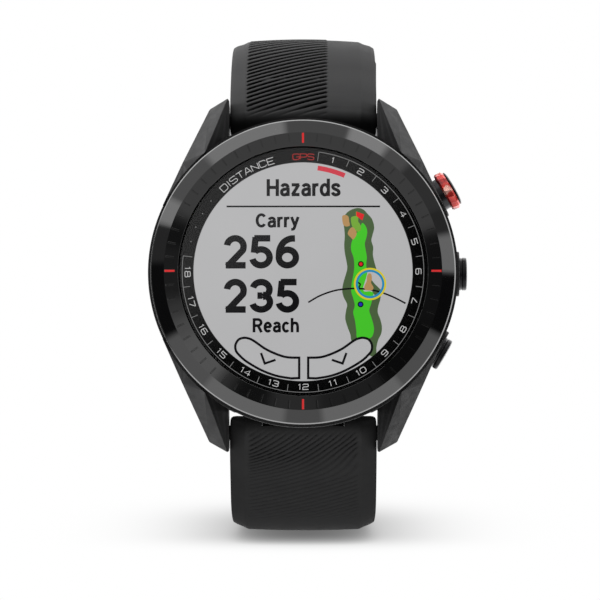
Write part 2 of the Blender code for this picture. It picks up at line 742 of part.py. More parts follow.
def root_piece(side):
    """The strap from the lug pin to its flex line, with a pocket for the hard connector."""
    frame = STRAPS[side]
    flex = FLEX[side]
    stations = ROOT_STATIONS + plain_stations(13.0, flex - 3.0, 3.6)
    stations += [(flex - away, drop, 0.0) for away, drop in FLEX_TAPER]
    body = add_piece(f"{side}_strap", strap_loft(side, stations), "strap_silicone", frame)
    join(body, f"barrel_shape_{side}", rod(BARREL_R, STRAP_HALF, 20), parent=frame)
    cut(body, f"pin_bore_shape_{side}", rod(PIN_R + 0.12, 12), parent=frame)
    pocket = block(
        (-CONNECTOR_POCKET_HALF, CONNECTOR_POCKET_HALF), (-4.0, 7.2), (-5.0, 1.45)
    )
    cut(
        body,
        f"connector_pocket_shape_{side}",
        pocket,
        parent=frame,
        turn=(-START_DEG, 0, 0),
    )
    cut(body, f"hook_pocket_shape_{side}", rod(2.08, CONNECTOR_POCKET_HALF), parent=frame)


def hook_arc(radius, start, stop, steps):
    """(y, z) points round the lug pin from start to stop degrees."""
    angles = [math.radians(start + (stop - start) * i / steps) for i in range(steps + 1)]
    return [(radius * math.cos(angle), radius * math.sin(angle)) for angle in angles]


def connector(side):
    """The hard clip in the strap's end, which hooks over the lug pin, and its latch."""
    placing = {"parent": STRAPS[side], "turn": (-START_DEG, 0, 0)}
    # Round the case side of the pin to the hook's mouth, then back along its inside.
    outline = [(7.0, -1.35), (7.0, 1.3)]
    outline += hook_arc(HOOK_R_OUT, 42, HOOK_MOUTH_DEG, 8)
    outline += hook_arc(HOOK_R_IN, HOOK_MOUTH_DEG, -40, 10)
    outline.append((1.7, -1.35))
    clip = side_prism(outline, CONNECTOR_HALF)
    add_piece(f"{side}_connector", clip, "chassis_plastic", **placing)
    add_piece(f"{side}_latch", side_prism(LATCH_OUTLINE, 3.4), "buckle_steel", **placing)


def upper_end():
    """The buckle half's far end: a barrel round the spring bar, split for the tongue."""
    stations = after_flex("upper")
    stations += plain_stations(FLEX["upper"] + 5.0, UPPER_LEN - 3.0, 4.2)
    stations += BUCKLE_STATIONS
    shape = strap_loft("upper", stations)
    body = add_piece("upper_strap_end", shape, "strap_silicone", STRAPS["upper"])
    join(body, "end_barrel_shape", rod(1.85, 9.7), parent=BUCKLE)
    cut(body, "bar_bore_shape", rod(BAR_R + 0.15, 12, 12), parent=BUCKLE)
    slot = block((-TONGUE_SLOT_HALF, TONGUE_SLOT_HALF), (-3.4, 4), (-5, 5))
    cut(body, "tongue_slot_shape", slot, parent=BUCKLE)


def strap_holes():
    """The row of strap holes as one cutting shape, each square to the strap."""
    holes = bmesh.new()
    for i in range(HOLE_COUNT):
        y, z, slope = path("lower", FIRST_HOLE + HOLE_PITCH * i)
        centre = Vector((0, y, z))
        tilt = Matrix.Rotation(-slope, 3, "X")
        outline = [
            tilt @ Vector((hole_x, hole_y, -4)) + centre
            for hole_x, hole_y in rounded(2.3, 0.95, 0.6, 1)
        ]
        extrude(outline, tilt @ Vector((0, 0, 8)), holes)
    return holes


def lower_end():
    """The long half's far end, with its row of holes and a rounded tip."""
    stations = after_flex("lower")
    stations += plain_stations(FLEX["lower"] + 5.0, LOWER_LEN - 9.0, 5.5)
    stations += TIP_STATIONS
    shape = strap_loft("lower", stations)
    body = add_piece("lower_strap_end", shape, "strap_silicone", STRAPS["lower"])
    cut(body, "hole_shapes", strap_holes(), parent=STRAPS["lower"])


for strap_side, strap_frame in STRAPS.items():
    root_piece(strap_side)
    connector(strap_side)
    add_piece(f"{strap_side}_lug_pin", rod(PIN_R, PIN_HALF), "screw_steel", strap_frame)
upper_end()
lower_end()


# =============================================================================
# Buckle. In its frame y points past the strap's end and z away from the wrist.
# =============================================================================
BUCKLE_HALF_T = 1.35
OPENING_HALF_X = 10.5
OUTER_Y, OPENING_Y = 4.6, 2.15  # centres of the outline and of the opening

# (radius, x) of the tongue's hoop round the bar.
HOOP_PROFILE = [(0.8, -1.3), (1.55, -1.3), (1.55, 1.3), (0.8, 1.3)]
# (y, z) side view of the tongue's arm, which rests in the frame's notch.
ARM_OUTLINE = [
    (1.1, -0.5), (1.1, 0.75), (7.0, 1.75), (10.9, 1.75), (11.4, 1.35), (11.3, 0.75),
    (7.2, 0.65),
]


def buckle_frame():
    outline = [(x, y + OUTER_Y) for x, y in rounded(12.9, 7.0, 3.0, 3)]
    shape = prism(outline, -BUCKLE_HALF_T, BUCKLE_HALF_T)
    frame = add_piece("buckle_frame", shape, "buckle_steel", BUCKLE)
    opening = [(x, y + OPENING_Y) for x, y in rounded(OPENING_HALF_X, 6.45, 1.6, 2)]
    cut(frame, "buckle_opening_shape", prism(opening, -5, 5), parent=BUCKLE)
    # The arms end just past the bar, so the frame is open towards the strap.
    back = block((-OPENING_HALF_X, OPENING_HALF_X), (-6, 0), (-5, 5))
    cut(frame, "buckle_back_shape", back, parent=BUCKLE)
    bar_hole = rod(BAR_R + 0.08, BAR_HALF + 0.1, 12)
    cut(frame, "buckle_bar_hole_shape", bar_hole, parent=BUCKLE)
    notch = block((-TONGUE_SLOT_HALF, TONGUE_SLOT_HALF), (7.5, 13.0), (0.55, 5))
    cut(frame, "tongue_notch_shape", notch, parent=BUCKLE)


def buckle_tongue():
    hoop = turned(HOOP_PROFILE, 14)
    turn_z_to_x(hoop)
    tongue = add_piece("buckle_tongue", hoop, "buckle_steel", BUCKLE)
    join(tongue, "tongue_arm_shape", side_prism(ARM_OUTLINE, 1.2), parent=BUCKLE)


buckle_frame()
add_piece("buckle_bar", rod(BAR_R, BAR_HALF, 12), "screw_steel", BUCKLE)
buckle_tongue()


# =============================================================================
# Keepers: flat loops round the upper strap, with room outside it for the lower half's tail
# =============================================================================
KEEPER_WIDTH = 5.0
KEEPER_PLAY = 0.3
TAIL_ROOM = 3.2
KEEPER_SIDE_WALL, KEEPER_FACE_WALL = 1.4, 1.2
KEEPER_LIFT = TAIL_ROOM / 2 - 0.05  # centre of the loop above the strap's centre line


def keeper(name, distance):
    # The loop is drawn flat, then turned so that its width lies along the strap.
    placing = {
        "parent": frame_on_path(f"{name}_axis", "upper", distance),
        "turn": (90, 0, 0),
    }
    half_x = half_width("upper", distance) + KEEPER_PLAY
    half_y = (STRAP_T + TAIL_ROOM + KEEPER_PLAY) / 2

    def lifted(outline, half):
        return prism([(x, y + KEEPER_LIFT) for x, y in outline], -half, half)

    outside = rounded(half_x + KEEPER_SIDE_WALL, half_y + KEEPER_FACE_WALL, 1.4, 2)
    loop = add_piece(name, lifted(outside, KEEPER_WIDTH / 2), "strap_silicone", **placing)
    opening = lifted(rounded(half_x, half_y, 0.7, 1), KEEPER_WIDTH)
    cut(loop, f"{name}_opening_shape", opening, **placing)


keeper("fixed_keeper", UPPER_LEN - 7.5)
keeper("free_keeper", UPPER_LEN - 16.0)
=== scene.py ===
"""A round golf watch on its buckled strap, built over its CAD pieces.

Lengths are in mm in the watch's axes: +x is 3 o'clock, +y is 12 o'clock, +z points out through
the lens, and z 0 is the rear face. In the frame, which is in metres, the lens faces -Y and
12 o'clock is +Z. TO_FRAME turns the one into the other.
"""

import json
import math

import bmesh
import bpy
from mathutils import Matrix, Vector

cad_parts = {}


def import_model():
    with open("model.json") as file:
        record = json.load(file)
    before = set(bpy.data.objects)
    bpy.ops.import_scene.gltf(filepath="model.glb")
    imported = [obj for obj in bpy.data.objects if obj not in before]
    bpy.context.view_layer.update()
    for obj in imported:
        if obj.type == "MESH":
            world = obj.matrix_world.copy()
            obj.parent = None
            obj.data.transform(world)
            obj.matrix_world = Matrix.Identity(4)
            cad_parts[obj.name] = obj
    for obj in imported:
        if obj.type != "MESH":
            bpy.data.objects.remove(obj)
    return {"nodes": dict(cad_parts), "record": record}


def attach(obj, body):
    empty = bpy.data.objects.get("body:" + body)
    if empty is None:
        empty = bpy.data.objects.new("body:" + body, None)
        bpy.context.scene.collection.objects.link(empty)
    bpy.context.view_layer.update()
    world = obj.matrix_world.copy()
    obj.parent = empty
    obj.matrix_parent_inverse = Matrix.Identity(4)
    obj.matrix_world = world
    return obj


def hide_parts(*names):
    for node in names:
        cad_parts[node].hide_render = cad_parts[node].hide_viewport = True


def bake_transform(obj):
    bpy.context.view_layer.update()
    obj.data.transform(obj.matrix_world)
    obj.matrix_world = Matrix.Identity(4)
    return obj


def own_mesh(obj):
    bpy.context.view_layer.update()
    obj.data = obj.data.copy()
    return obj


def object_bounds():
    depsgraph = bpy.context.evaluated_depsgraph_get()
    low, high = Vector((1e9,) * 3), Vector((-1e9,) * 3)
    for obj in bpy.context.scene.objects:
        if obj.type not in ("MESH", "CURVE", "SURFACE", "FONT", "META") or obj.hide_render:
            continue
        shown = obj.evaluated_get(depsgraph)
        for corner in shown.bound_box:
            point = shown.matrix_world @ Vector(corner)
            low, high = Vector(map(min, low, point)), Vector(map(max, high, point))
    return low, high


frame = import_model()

CAD_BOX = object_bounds()
MM = 0.001
TO_FRAME = Matrix(((1, 0, 0, 0), (0, 0, -1, 0), (0, 1, 0, 0), (0, 0, 0, 1)))

# Case, bezel, lens, display and dial ring. Profiles elsewhere are (radius, height) points.
CASE_R, CASE_BOTTOM, CASE_TOP = 23.5, 1.6, 12.5
CAVITY_R, FLANGE_R, FLANGE_Z, SEAT_Z = 19.0, 18.0, 11.9, 2.95
BEZEL_R, BEZEL_BORE, BEZEL_BOTTOM = 23.1, 18.85, 12.56
LENS_R, LENS_Z0, LENS_Z1 = 18.75, 13.65, 14.95
DISPLAY_R, DISPLAY_Z0, DISPLAY_Z1 = 17.7, 11.45, 13.05
DIAL_R0, DIAL_R1, DIAL_Z0, DIAL_Z1 = 16.55, 18.65, 13.15, 13.56
DIAL_PRINT_Z0, DIAL_PRINT_Z1, DIAL_LINE_Z1 = 13.555, 13.59, 13.585

# Lugs and their pins, rear screws and charging contacts.
LUG_IN = 11.35
PIN_Y, PIN_Z, PIN_R = 24.0, 0.8, 1.15
POCKET_Y, POCKET_TOP = 21.0, 9.0
SCREWS = [(8.7, 15.1), (-8.7, 15.1), (-8.7, -15.1), (8.7, -15.1)]
CONTACT_Y, CONTACTS = -14.2, [-2.85, -0.95, 0.95, 2.85]

# Buttons: their angles from 3 o'clock, and distances out from the watch's axis.
BUTTON_Z = 7.0
BUTTONS = {"upper": 30.0, "middle": 0.0, "lower": -30.0}
BOSS_R, BOSS_TOP = 3.4, 23.75
WELL_R, WELL_FLOOR, STEM_R = 2.65, 21.25, 1.2
COLLAR_BORE = 2.52
SPRING_FOOT, SPRING_LENGTH, SPRING_CLOSES = 21.28, 1.74, 0.62
SPRING_HEAD = SPRING_FOOT + SPRING_LENGTH

# Strap halves. Lengths along them are from the lug pin.
STRAP_T, STRAP_HALF, BARREL_R = 2.9, 11.2, 2.6
START = math.radians(36.0)
STRAIGHT, BEND_R, BACK_R = 4.0, 24.15, 110.0
BEND_LEN = BEND_R * (math.pi / 2 - START)
UPPER_BACK, UPPER_FLAT, LOWER_LEN = 24.0, 23.0, 118.0
UPPER_LEN = STRAIGHT + BEND_LEN + UPPER_BACK + UPPER_FLAT
# Runs of the centre line: (radius or None for straight, length).
RUNS = {
    "upper": [(None, STRAIGHT), (BEND_R, BEND_LEN), (BACK_R, UPPER_BACK), (None, math.inf)],
    "lower": [(None, STRAIGHT), (BEND_R, BEND_LEN), (BACK_R, math.inf)],
}
DOME = {"upper": 0.32, "lower": 0.2}  # fall of the outer face towards its edges
TAPER = {"upper": (4.0, 64.0, 10.0), "lower": (14.0, 60.0, 9.8)}  # from, to, last half width
PATTERN_END = {"upper": 48.0, "lower": 20.5}
BEND_AT = {"upper": (38.0, 8.0), "lower": (42.0, 15.0)}  # centre and half length of the flex
HOLES = [66.0 + 5.0 * i for i in range(10)]
EDGE_INSET = 2.5  # width of the rounded border beside the flat of the outer face
# The border's section, as (inset from the side, height off the lower or upper face).
EDGE_LOW = ((0.8, 0.0), (0.4, 0.11), (0.11, 0.4), (0.0, 0.8))
EDGE_HIGH = (
    (0.0, 1.42), (0.02, 1.33), (0.09, 1.25), (0.6, 0.96),
    (1.6, 0.42), (2.2, 0.075), (2.36, 0.012), (EDGE_INSET, 0.0),
)


# ---- Materials ------------------------------------------------------------------------------
class Graph:
    """Adds and wires the shader nodes of a material or world."""

    def __init__(self, owner):
        owner.use_nodes = True
        self.tree = owner.node_tree
        self.tree.nodes.clear()

    def feed(self, node, key, value):
        """Links a socket to the input, or sets a plain value on it."""
        if isinstance(value, bpy.types.NodeSocket):
            self.tree.links.new(value, node.inputs[key])
        else:
            node.inputs[key].default_value = value

    def add(self, kind, inputs=None, **settings):
        node = self.tree.nodes.new("ShaderNode" + kind)
        for key, value in settings.items():
            setattr(node, key, value)
        for key, value in (inputs or {}).items():
            self.feed(node, key, value)
        return node

    def maths(self, operation, first, second=0.0, clamp=False):
        inputs = {0: first, 1: second, 2: 0.0}
        return self.add("Math", inputs, operation=operation, use_clamp=clamp).outputs[0]

    def smooth(self, value, low, high, at_low=0.0, at_high=1.0):
        """Eases from at_low to at_high as value goes from low to high."""
        inputs = {"Value": value, "From Min": low, "From Max": high}
        inputs.update({"To Min": at_low, "To Max": at_high})
        return self.add("MapRange", inputs, interpolation_type="SMOOTHSTEP").outputs["Result"]

    def mix(self, factor, first, second):
        inputs = {"Factor": factor, "A": first, "B": second}
        return self.add("Mix", inputs, data_type="FLOAT").outputs["Result"]

    def noise(self, vector, scale, detail, **more):
        inputs = {"Vector": vector, "Scale": scale, "Detail": detail, **more}
        return self.add("TexNoise", inputs).outputs["Fac"]

    def coords(self, kind="Object"):
        return self.add("TexCoord").outputs[kind]

    def scaled(self, vector, scale):
        inputs = {0: vector, "Scale": scale}
        return self.add("VectorMath", inputs, operation="SCALE").outputs[0]

    def finish(self, shader, kind="OutputMaterial"):
        self.add(kind, {0: shader.outputs[0]})


MATERIALS = {}


def new_material(name, view_colour):
    material = bpy.data.materials.new(name)
    material.diffuse_color = view_colour
    MATERIALS[name] = material
    return Graph(material)


def glint_colours(graph, coords, glints):
    """Painted highlights and shade for a cut metal surface: noise steps between dark and pale
    tones.
    """
    cut = graph.noise(coords, scale=620.0, detail=1.5, Roughness=0.5)
    ramp = graph.add("ValToRGB", {"Fac": cut})
    steps = ramp.color_ramp.elements
    while len(steps) < len(glints):
        steps.new(0.5)
    for step, (level, tint) in zip(steps, glints):
        step.position = level
        step.color = (*tint, 1.0)
    return ramp.outputs["Color"]


def worn_edges(graph, base, colour, share):
    """Lightens convex edges."""
    pointiness = graph.add("NewGeometry").outputs["Pointiness"]
    edge_mask = graph.smooth(pointiness, low=0.51, high=0.56)
    mixed = graph.add("Mix", data_type="RGBA")
    graph.feed(mixed, "Factor", graph.maths("MULTIPLY", edge_mask, share))
    graph.feed(mixed, "A", base)
    graph.feed(mixed, "B", (*[min(1.0, c * 3.0 + 0.02) for c in colour], 1.0))
    return mixed.outputs["Result"]


def dimmed(graph, base, distance, low, high, darkest, local=False):
    """Painted shade: darkens base where something stands closer than distance, in metres."""
    near = graph.add("AmbientOcclusion", {"Distance": distance}, samples=8, only_local=local)
    return graph.scaled(base, graph.smooth(near.outputs["AO"], low, high, at_low=darkest))


def surface(
    name, colour, rough, metallic=0.0, ior=1.46, specular=0.5, coat=0.0, coat_rough=0.05,
    vary=0.12, vary_scale=300.0, rough_vary=0.08, bump=0.0, bump_scale=5000.0, brushed=None,
    glow=None, glow_strength=0.0, edge=0.0, cavity=0.0, hidden=0.0, glints=None,
):
    """A surface whose tone and roughness drift with noise, with a fine grain from bump.

    colour is linear RGB. vary and rough_vary are the size of the drift. brushed is a scale per
    axis that stretches the grain. edge is how much convex edges lighten. cavity paints shade
    into grooves about that wide, and hidden paints shade on what lies that close under other
    pieces, both in metres.
    glints is a list of (noise level, colour), painted highlights and shade, that takes the place
    of colour in renders.
    """
    graph = new_material(name, (*colour, 1.0))
    coords = graph.coords()
    drift = graph.noise(coords, scale=vary_scale, detail=4.0, Roughness=0.6)
    if glints:
        base = glint_colours(graph, coords, glints)
    else:
        tone = graph.smooth(drift, low=0.3, high=0.7, at_low=1.0 - vary, at_high=1.0 + vary)
        base = graph.scaled(colour, tone)
    if edge:
        base = worn_edges(graph, base, colour, edge)
    # Painted shade in the grooves.
    if cavity:
        base = dimmed(graph, base, cavity, low=0.52, high=0.95, darkest=0.16, local=True)
    # Painted shade on what lies close under other pieces.
    if hidden:
        base = dimmed(graph, base, hidden, low=0.3, high=0.97, darkest=0.3)
    smoothest = max(0.0, rough - rough_vary)
    rough_drift = graph.smooth(
        drift, low=0.25, high=0.75, at_low=smoothest, at_high=rough + rough_vary
    )
    inputs = {
        "Base Color": base,
        "Roughness": rough_drift,
        "Metallic": metallic,
        "IOR": ior,
        "Specular IOR Level": specular,
        "Coat Weight": coat,
        "Coat Roughness": coat_rough,
    }
    if glow_strength:
        inputs["Emission Color"] = (*glow, 1.0)
        inputs["Emission Strength"] = glow_strength
    shader = graph.add("BsdfPrincipled", inputs)
    if bump:
        vector = coords
        if brushed:
            vector = graph.add("Mapping", {"Vector": coords, "Scale": brushed}).outputs[0]
        grain = graph.noise(vector, scale=bump_scale, detail=3.0, Roughness=0.65)
        bumps = graph.add("Bump", {"Height": grain, "Strength": bump, "Distance": 0.00005})
        graph.feed(shader, "Normal", bumps.outputs[0])
    graph.finish(shader)


def lens_glass():
    """Clear glass: light passes straight through, and only the outer side reflects."""
    graph = new_material("lens_glass", (0.8, 0.82, 0.84, 0.3))
    fresnel = graph.add("Fresnel", {"IOR": 1.5}).outputs[0]
    backfacing = graph.add("NewGeometry").outputs["Backfacing"]
    outside = graph.maths("SUBTRACT", 1.0, backfacing)
    smear = graph.noise(graph.coords(), scale=120.0, detail=2.0)
    polish = graph.smooth(smear, low=0.3, high=0.7, at_low=0.01, at_high=0.035)
    gain = 1.0  # strength of the reflection
    share = graph.maths("MULTIPLY", graph.maths("MULTIPLY", fresnel, outside), gain, clamp=True)
    clear = graph.add("BsdfTransparent", {"Color": (1, 1, 1, 1)})
    gloss = graph.add("BsdfGlossy", {"Color": (1, 1, 1, 1), "Roughness": polish})
    graph.finish(graph.add("MixShader", {0: share, 1: clear.outputs[0], 2: gloss.outputs[0]}))


def lit(name, colour):
    """A display colour as a painted glow: it glows evenly at a set strength, with a slight drift
    in tone.
    """
    graph = new_material(name, (*colour, 1.0))
    drift = graph.noise(graph.coords(), scale=60.0, detail=2.0)
    vary = 0.015
    glow = graph.smooth(drift, low=0.3, high=0.7, at_low=1 - vary, at_high=1 + vary)
    inputs = {
        "Base Color": (*[c * 0.1 for c in colour], 1.0),
        "Roughness": 0.6,
        "Specular IOR Level": 0.0,
        "Emission Color": (*colour, 1.0),
        "Emission Strength": glow,
    }
    graph.finish(graph.add("BsdfPrincipled", inputs))


def srgb(code):
    """Linear RGB from a six-digit hex colour."""
    channels = [int(code[i : i + 2], 16) / 255 for i in (0, 2, 4)]
    return tuple(c / 12.92 if c <= 0.04045 else ((c + 0.055) / 1.055) ** 2.4 for c in channels)


def front_materials():
    surface(
        "case_polymer", (0.024, 0.024, 0.0245), rough=0.6, specular=0.3,
        vary=0.08, vary_scale=900, bump=0.25, bump_scale=9000, edge=0.25,
    )
    surface(
        "bezel_ceramic", (0.0015, 0.0015, 0.0017), rough=0.055, ior=2.1,
        vary=0.1, vary_scale=200, rough_vary=0.012, bump=0.008, bump_scale=900,
    )
    surface(
        "bezel_tick", (0.0015, 0.0015, 0.0015), rough=0.11, ior=1.95,
        vary=0.2, vary_scale=2000, bump=0.02, bump_scale=9000,
    )
    # The red marks carry a painted glow.
    surface(
        "bezel_red", srgb("d02826"), rough=0.4, vary=0.08, vary_scale=2000,
        bump=0.1, bump_scale=9000, glow=srgb("b82a2c"), glow_strength=0.8,
    )
    lens_glass()
    surface(
        "dial_print", (0.0014, 0.0014, 0.0016), rough=0.4, specular=0.12,
        vary=0.15, vary_scale=500, bump=0.03, bump_scale=6000,
    )
    # The dial print has a painted glow; dial_line also prints the rings on the sensor glass.
    surface(
        "dial_white", (0.4, 0.4, 0.4), rough=0.5, vary=0.06, vary_scale=3000,
        glow=(0.42, 0.42, 0.42), glow_strength=1.0,
    )
    surface(
        "dial_line", (0.2, 0.2, 0.2), rough=0.5, vary=0.08, vary_scale=3000,
        glow=(0.15, 0.15, 0.15), glow_strength=1.0,
    )
    surface(
        "dial_red", srgb("c42622"), rough=0.5, vary=0.06, vary_scale=3000,
        glow=srgb("a82420"), glow_strength=0.5,
    )


SCREEN_COLOURS = {
    "display_panel": "b4b4b5",
    "ui_ink": "101012",
    "ui_key": "b4b4b5",
    "ui_rough": "4a5f3e",
    "ui_fairway": "45c02c",
    "ui_green": "73a53b",
    "ui_sand": "b08a5a",
    "ui_red": "d8282a",
    "ui_rose": "c93a48",
    "ui_yellow": "d2c22e",
    "ui_blue": "2b86b4",
    "ui_deep_blue": "2430b0",
}


def body_materials():
    surface("seal_rubber", (0.012, 0.012, 0.012), rough=0.75, bump=0.3, bump_scale=6000)
    surface("chassis_plastic", (0.03, 0.03, 0.032), rough=0.45, bump=0.15, bump_scale=5000)
    surface(
        "circuit_board", (0.01, 0.09, 0.04), rough=0.4, coat=0.3,
        vary=0.3, vary_scale=1200, bump=0.3, bump_scale=1500,
    )
    surface(
        "shield_steel", (0.6, 0.6, 0.6), rough=0.32, metallic=1.0,
        bump=0.1, bump_scale=800, brushed=(1, 30, 30),
    )
    surface("antenna_copper", (0.75, 0.36, 0.18), rough=0.3, metallic=1.0, bump=0.1)
    surface(
        "battery_foil", (0.5, 0.51, 0.53), rough=0.35, metallic=0.7, bump=0.4, bump_scale=1200
    )
    surface(
        "motor_steel", (0.55, 0.55, 0.56), rough=0.28, metallic=1.0,
        bump=0.1, bump_scale=900, brushed=(30, 1, 30),
    )
    surface(
        "cover_polymer", (0.03, 0.03, 0.031), rough=0.42,
        vary=0.1, vary_scale=700, bump=0.3, bump_scale=7000, edge=0.2,
    )
    surface(
        "sensor_glass", (0.004, 0.004, 0.005), rough=0.04, ior=1.6, coat=1.0,
        vary=0.2, vary_scale=300, rough_vary=0.01,
    )
    surface(
        "contact_gold", (0.83, 0.58, 0.22), rough=0.22, metallic=1.0, rough_vary=0.05, bump=0.05
    )
    surface(
        "screw_steel", (0.42, 0.42, 0.43), rough=0.28, metallic=1.0,
        bump=0.15, bump_scale=900, brushed=(1, 40, 40),
    )
    surface(
        "pin_steel", (0.03, 0.03, 0.031), rough=0.4, metallic=0.6,
        bump=0.1, bump_scale=900, brushed=(1, 40, 40),
    )
    surface(
        "button_black", (0.035, 0.035, 0.037), rough=0.3, metallic=0.85,
        rough_vary=0.05, bump=0.08, bump_scale=4000, edge=0.3,
    )
    # The collar's glints are painted: its colour steps with noise from dark red to pale pink.
    surface(
        "button_red", (0.78, 0.07, 0.05), rough=0.3, metallic=0.6, coat=0.8, coat_rough=0.12,
        rough_vary=0.1, bump=0.5, bump_scale=2200, brushed=(1.0, 1.0, 0.25),
        glints=[
            (0.33, (0.12, 0.006, 0.008)),
            (0.44, (0.5, 0.022, 0.02)),
            (0.56, (0.74, 0.055, 0.04)),
            (0.64, (0.95, 0.5, 0.42)),
        ],
    )
    silicone = dict(vary=0.06, vary_scale=350, rough_vary=0.06, bump=0.3, bump_scale=7000)
    # Painted shade: cavity darkens the grooves, and hidden the strap where it runs close under
    # the case.
    surface(
        "strap_silicone", (0.048, 0.048, 0.0485), rough=0.7, specular=0.12,
        cavity=0.0007, hidden=0.012, **silicone,
    )
    # A copy for the lower half, with shorter painted shade, a slightly darker tone and less
    # shine, as it sits in different light.
    surface(
        "strap_silicone_lower", (0.046, 0.046, 0.0465), rough=0.75, specular=0.02,
        cavity=0.0006, hidden=0.006, **silicone,
    )
    surface(
        "connector_plastic", (0.014, 0.014, 0.014), rough=0.75, specular=0.04,
        bump=0.15, bump_scale=5000,
    )
    surface(
        "buckle_steel", (0.045, 0.045, 0.047), rough=0.3, metallic=0.9,
        bump=0.1, bump_scale=900, brushed=(1, 25, 25), edge=0.4,
    )


front_materials()
# The display's colours are a painted glow.
for material_name, code in SCREEN_COLOURS.items():
    lit(material_name, srgb(code))
body_materials()

# CAD nodes, with the material slot and the moving body of each.
NODES = frame["nodes"]
SLOT = {entry["node"]: entry["material_slot"] for entry in frame["record"]["subparts"]}
BODY = {
    node: body
    for body, members in frame["record"]["behaviour"]["bodies"].items()
    for node in members
}
for node, slot in SLOT.items():
    NODES[node].data.materials.clear()
    NODES[node].data.materials.append(MATERIALS[slot])


# ---- Placing and finishing objects ----------------------------------------------------------
def place(x=0.0, y=0.0, z=0.0, turn=(0, 0, 0)):
    """A place in the watch's axes, turned in degrees about x, then y, then z."""
    matrix = Matrix.Translation((x, y, z))
    for axis in (2, 1, 0):
        matrix = matrix @ Matrix.Rotation(math.radians(turn[axis]), 4, "XYZ"[axis])
    return matrix


def button_frame(angle):
    """z along the push axis, outwards."""
    return place(0, 0, BUTTON_Z, (0, 90, angle))


STRAP_FRAME = {"upper": place(0, PIN_Y, PIN_Z), "lower": place(0, -PIN_Y, PIN_Z, (0, 0, 180))}


def in_frame(at, point):
    """A point of a local frame, in the frame's metres."""
    return (TO_FRAME @ at @ Vector(point)) * MM


def shade(obj, sharp=35.0):
    obj.data.shade_smooth()
    obj.data.set_sharp_from_angle(angle=math.radians(sharp))


def link_solid(name, solid):
    mesh = bpy.data.meshes.new(name)
    solid.to_mesh(mesh)
    solid.free()
    obj = bpy.data.objects.new(name, mesh)
    bpy.context.scene.collection.objects.link(obj)
    return obj


def to_object(name, solid, at=None, sharp=35.0, weld=1e-5):
    """Turns a bmesh drawn in mm into an object in the frame."""
    if weld:
        bmesh.ops.remove_doubles(solid, verts=solid.verts, dist=weld)
    bmesh.ops.recalc_face_normals(solid, faces=solid.faces)
    matrix = TO_FRAME @ (at or Matrix.Identity(4))
    bmesh.ops.transform(solid, matrix=matrix, verts=solid.verts)
    bmesh.ops.scale(solid, vec=(MM, MM, MM), verts=solid.verts)
    obj = link_solid(name, solid)
    shade(obj, sharp)
    return obj


def bake(obj, sharp=35.0):
    """Applies the object's modifiers."""
    graph = bpy.context.evaluated_depsgraph_get()
    mesh = bpy.data.meshes.new_from_object(obj.evaluated_get(graph))
    old = obj.data
    obj.modifiers.clear()
    obj.data = mesh
    bpy.data.meshes.remove(old)
    shade(obj, sharp)


def combine(obj, others, operation="DIFFERENCE", sharp=35.0):
    """Joins the others to the object or cuts them from it, and removes them."""
    for other in others:
        modifier = obj.modifiers.new("boolean", "BOOLEAN")
        modifier.operation = operation
        modifier.solver = "EXACT"
        modifier.object = other
    bake(obj, sharp)
    for other in others:
        bpy.data.objects.remove(other, do_unlink=True)


def piece(obj, material, body, node=None):
    """Gives the piece its material and body, and hides the CAD node it stands for."""
    if material:
        obj.data.materials.clear()
        obj.data.materials.append(MATERIALS[material])
    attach(obj, body)
    if node:
        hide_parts(node)


def stand_in(node, solid, material, body="case", at=None, sharp=35.0):
    """A whole piece that stands for one CAD node."""
    piece(to_object(f"{node}_look", solid, at, sharp), material, body, node)


def refined(node, width, material=None):
    """The CAD node's own shape with its edges rounded over."""
    solid = bmesh.new()
    solid.from_mesh(NODES[node].data)
    bmesh.ops.remove_doubles(solid, verts=solid.verts, dist=2e-6)
    flat = math.radians(1.0)
    bmesh.ops.dissolve_limit(solid, angle_limit=flat, verts=solid.verts, edges=solid.edges)
    obj = link_solid(f"{node}_look", solid)
    bevel = obj.modifiers.new("bevel", "BEVEL")
    bevel.width = width * MM
    bevel.segments = 3
    bevel.limit_method = "ANGLE"
    bevel.angle_limit = math.radians(25.0)
    bevel.use_clamp_overlap = True
    bevel.miter_outer = "MITER_ARC"
    bake(obj)
    piece(obj, material or SLOT[node], BODY[node], node)


# ---- Outlines and solids, in mm -------------------------------------------------------------
def smoothstep(low, high, x):
    share = min(1.0, max(0.0, (x - low) / (high - low)))
    return share * share * (3 - 2 * share)


def polar(radius, angle):
    return (radius * math.cos(angle), radius * math.sin(angle))


def clock(degrees):
    """The angle from +x of a direction measured clockwise from 12 o'clock."""
    return math.radians(90 - degrees)


def skin(solid, rings):
    """Joins each ring of vertices to the next with quads."""
    count = len(rings[0])
    for first, second in zip(rings, rings[1:]):
        for i in range(count):
            j = (i + 1) % count
            solid.faces.new((first[i], first[j], second[j], second[i]))


def tube(solid, rings):
    """Skins the rings and caps both ends."""
    skin(solid, rings)
    solid.faces.new(rings[0][::-1])
    solid.faces.new(rings[-1])


def turned(profile, segments=192):
    """A closed (radius, height) profile turned round z. It may start and end on the axis."""
    solid = bmesh.new()
    on_axis = profile[0][0] < 1e-6 and profile[-1][0] < 1e-6
    rings = []
    for radius, z in profile:
        if radius < 1e-6:
            rings.append([solid.verts.new((0, 0, z))])
            continue
        angles = [math.tau * i / segments for i in range(segments)]
        rings.append([solid.verts.new((*polar(radius, angle), z)) for angle in angles])
    pairs = list(zip(rings, rings[1:]))
    if not on_axis:
        pairs.append((rings[-1], rings[0]))
    for first, second in pairs:
        for i in range(segments):
            j = (i + 1) % segments
            if len(first) == 1:
                solid.faces.new((first[0], second[i], second[j]))
            elif len(second) == 1:
                solid.faces.new((first[i], second[0], first[j]))
            else:
                solid.faces.new((first[i], second[i], second[j], first[j]))
    return solid


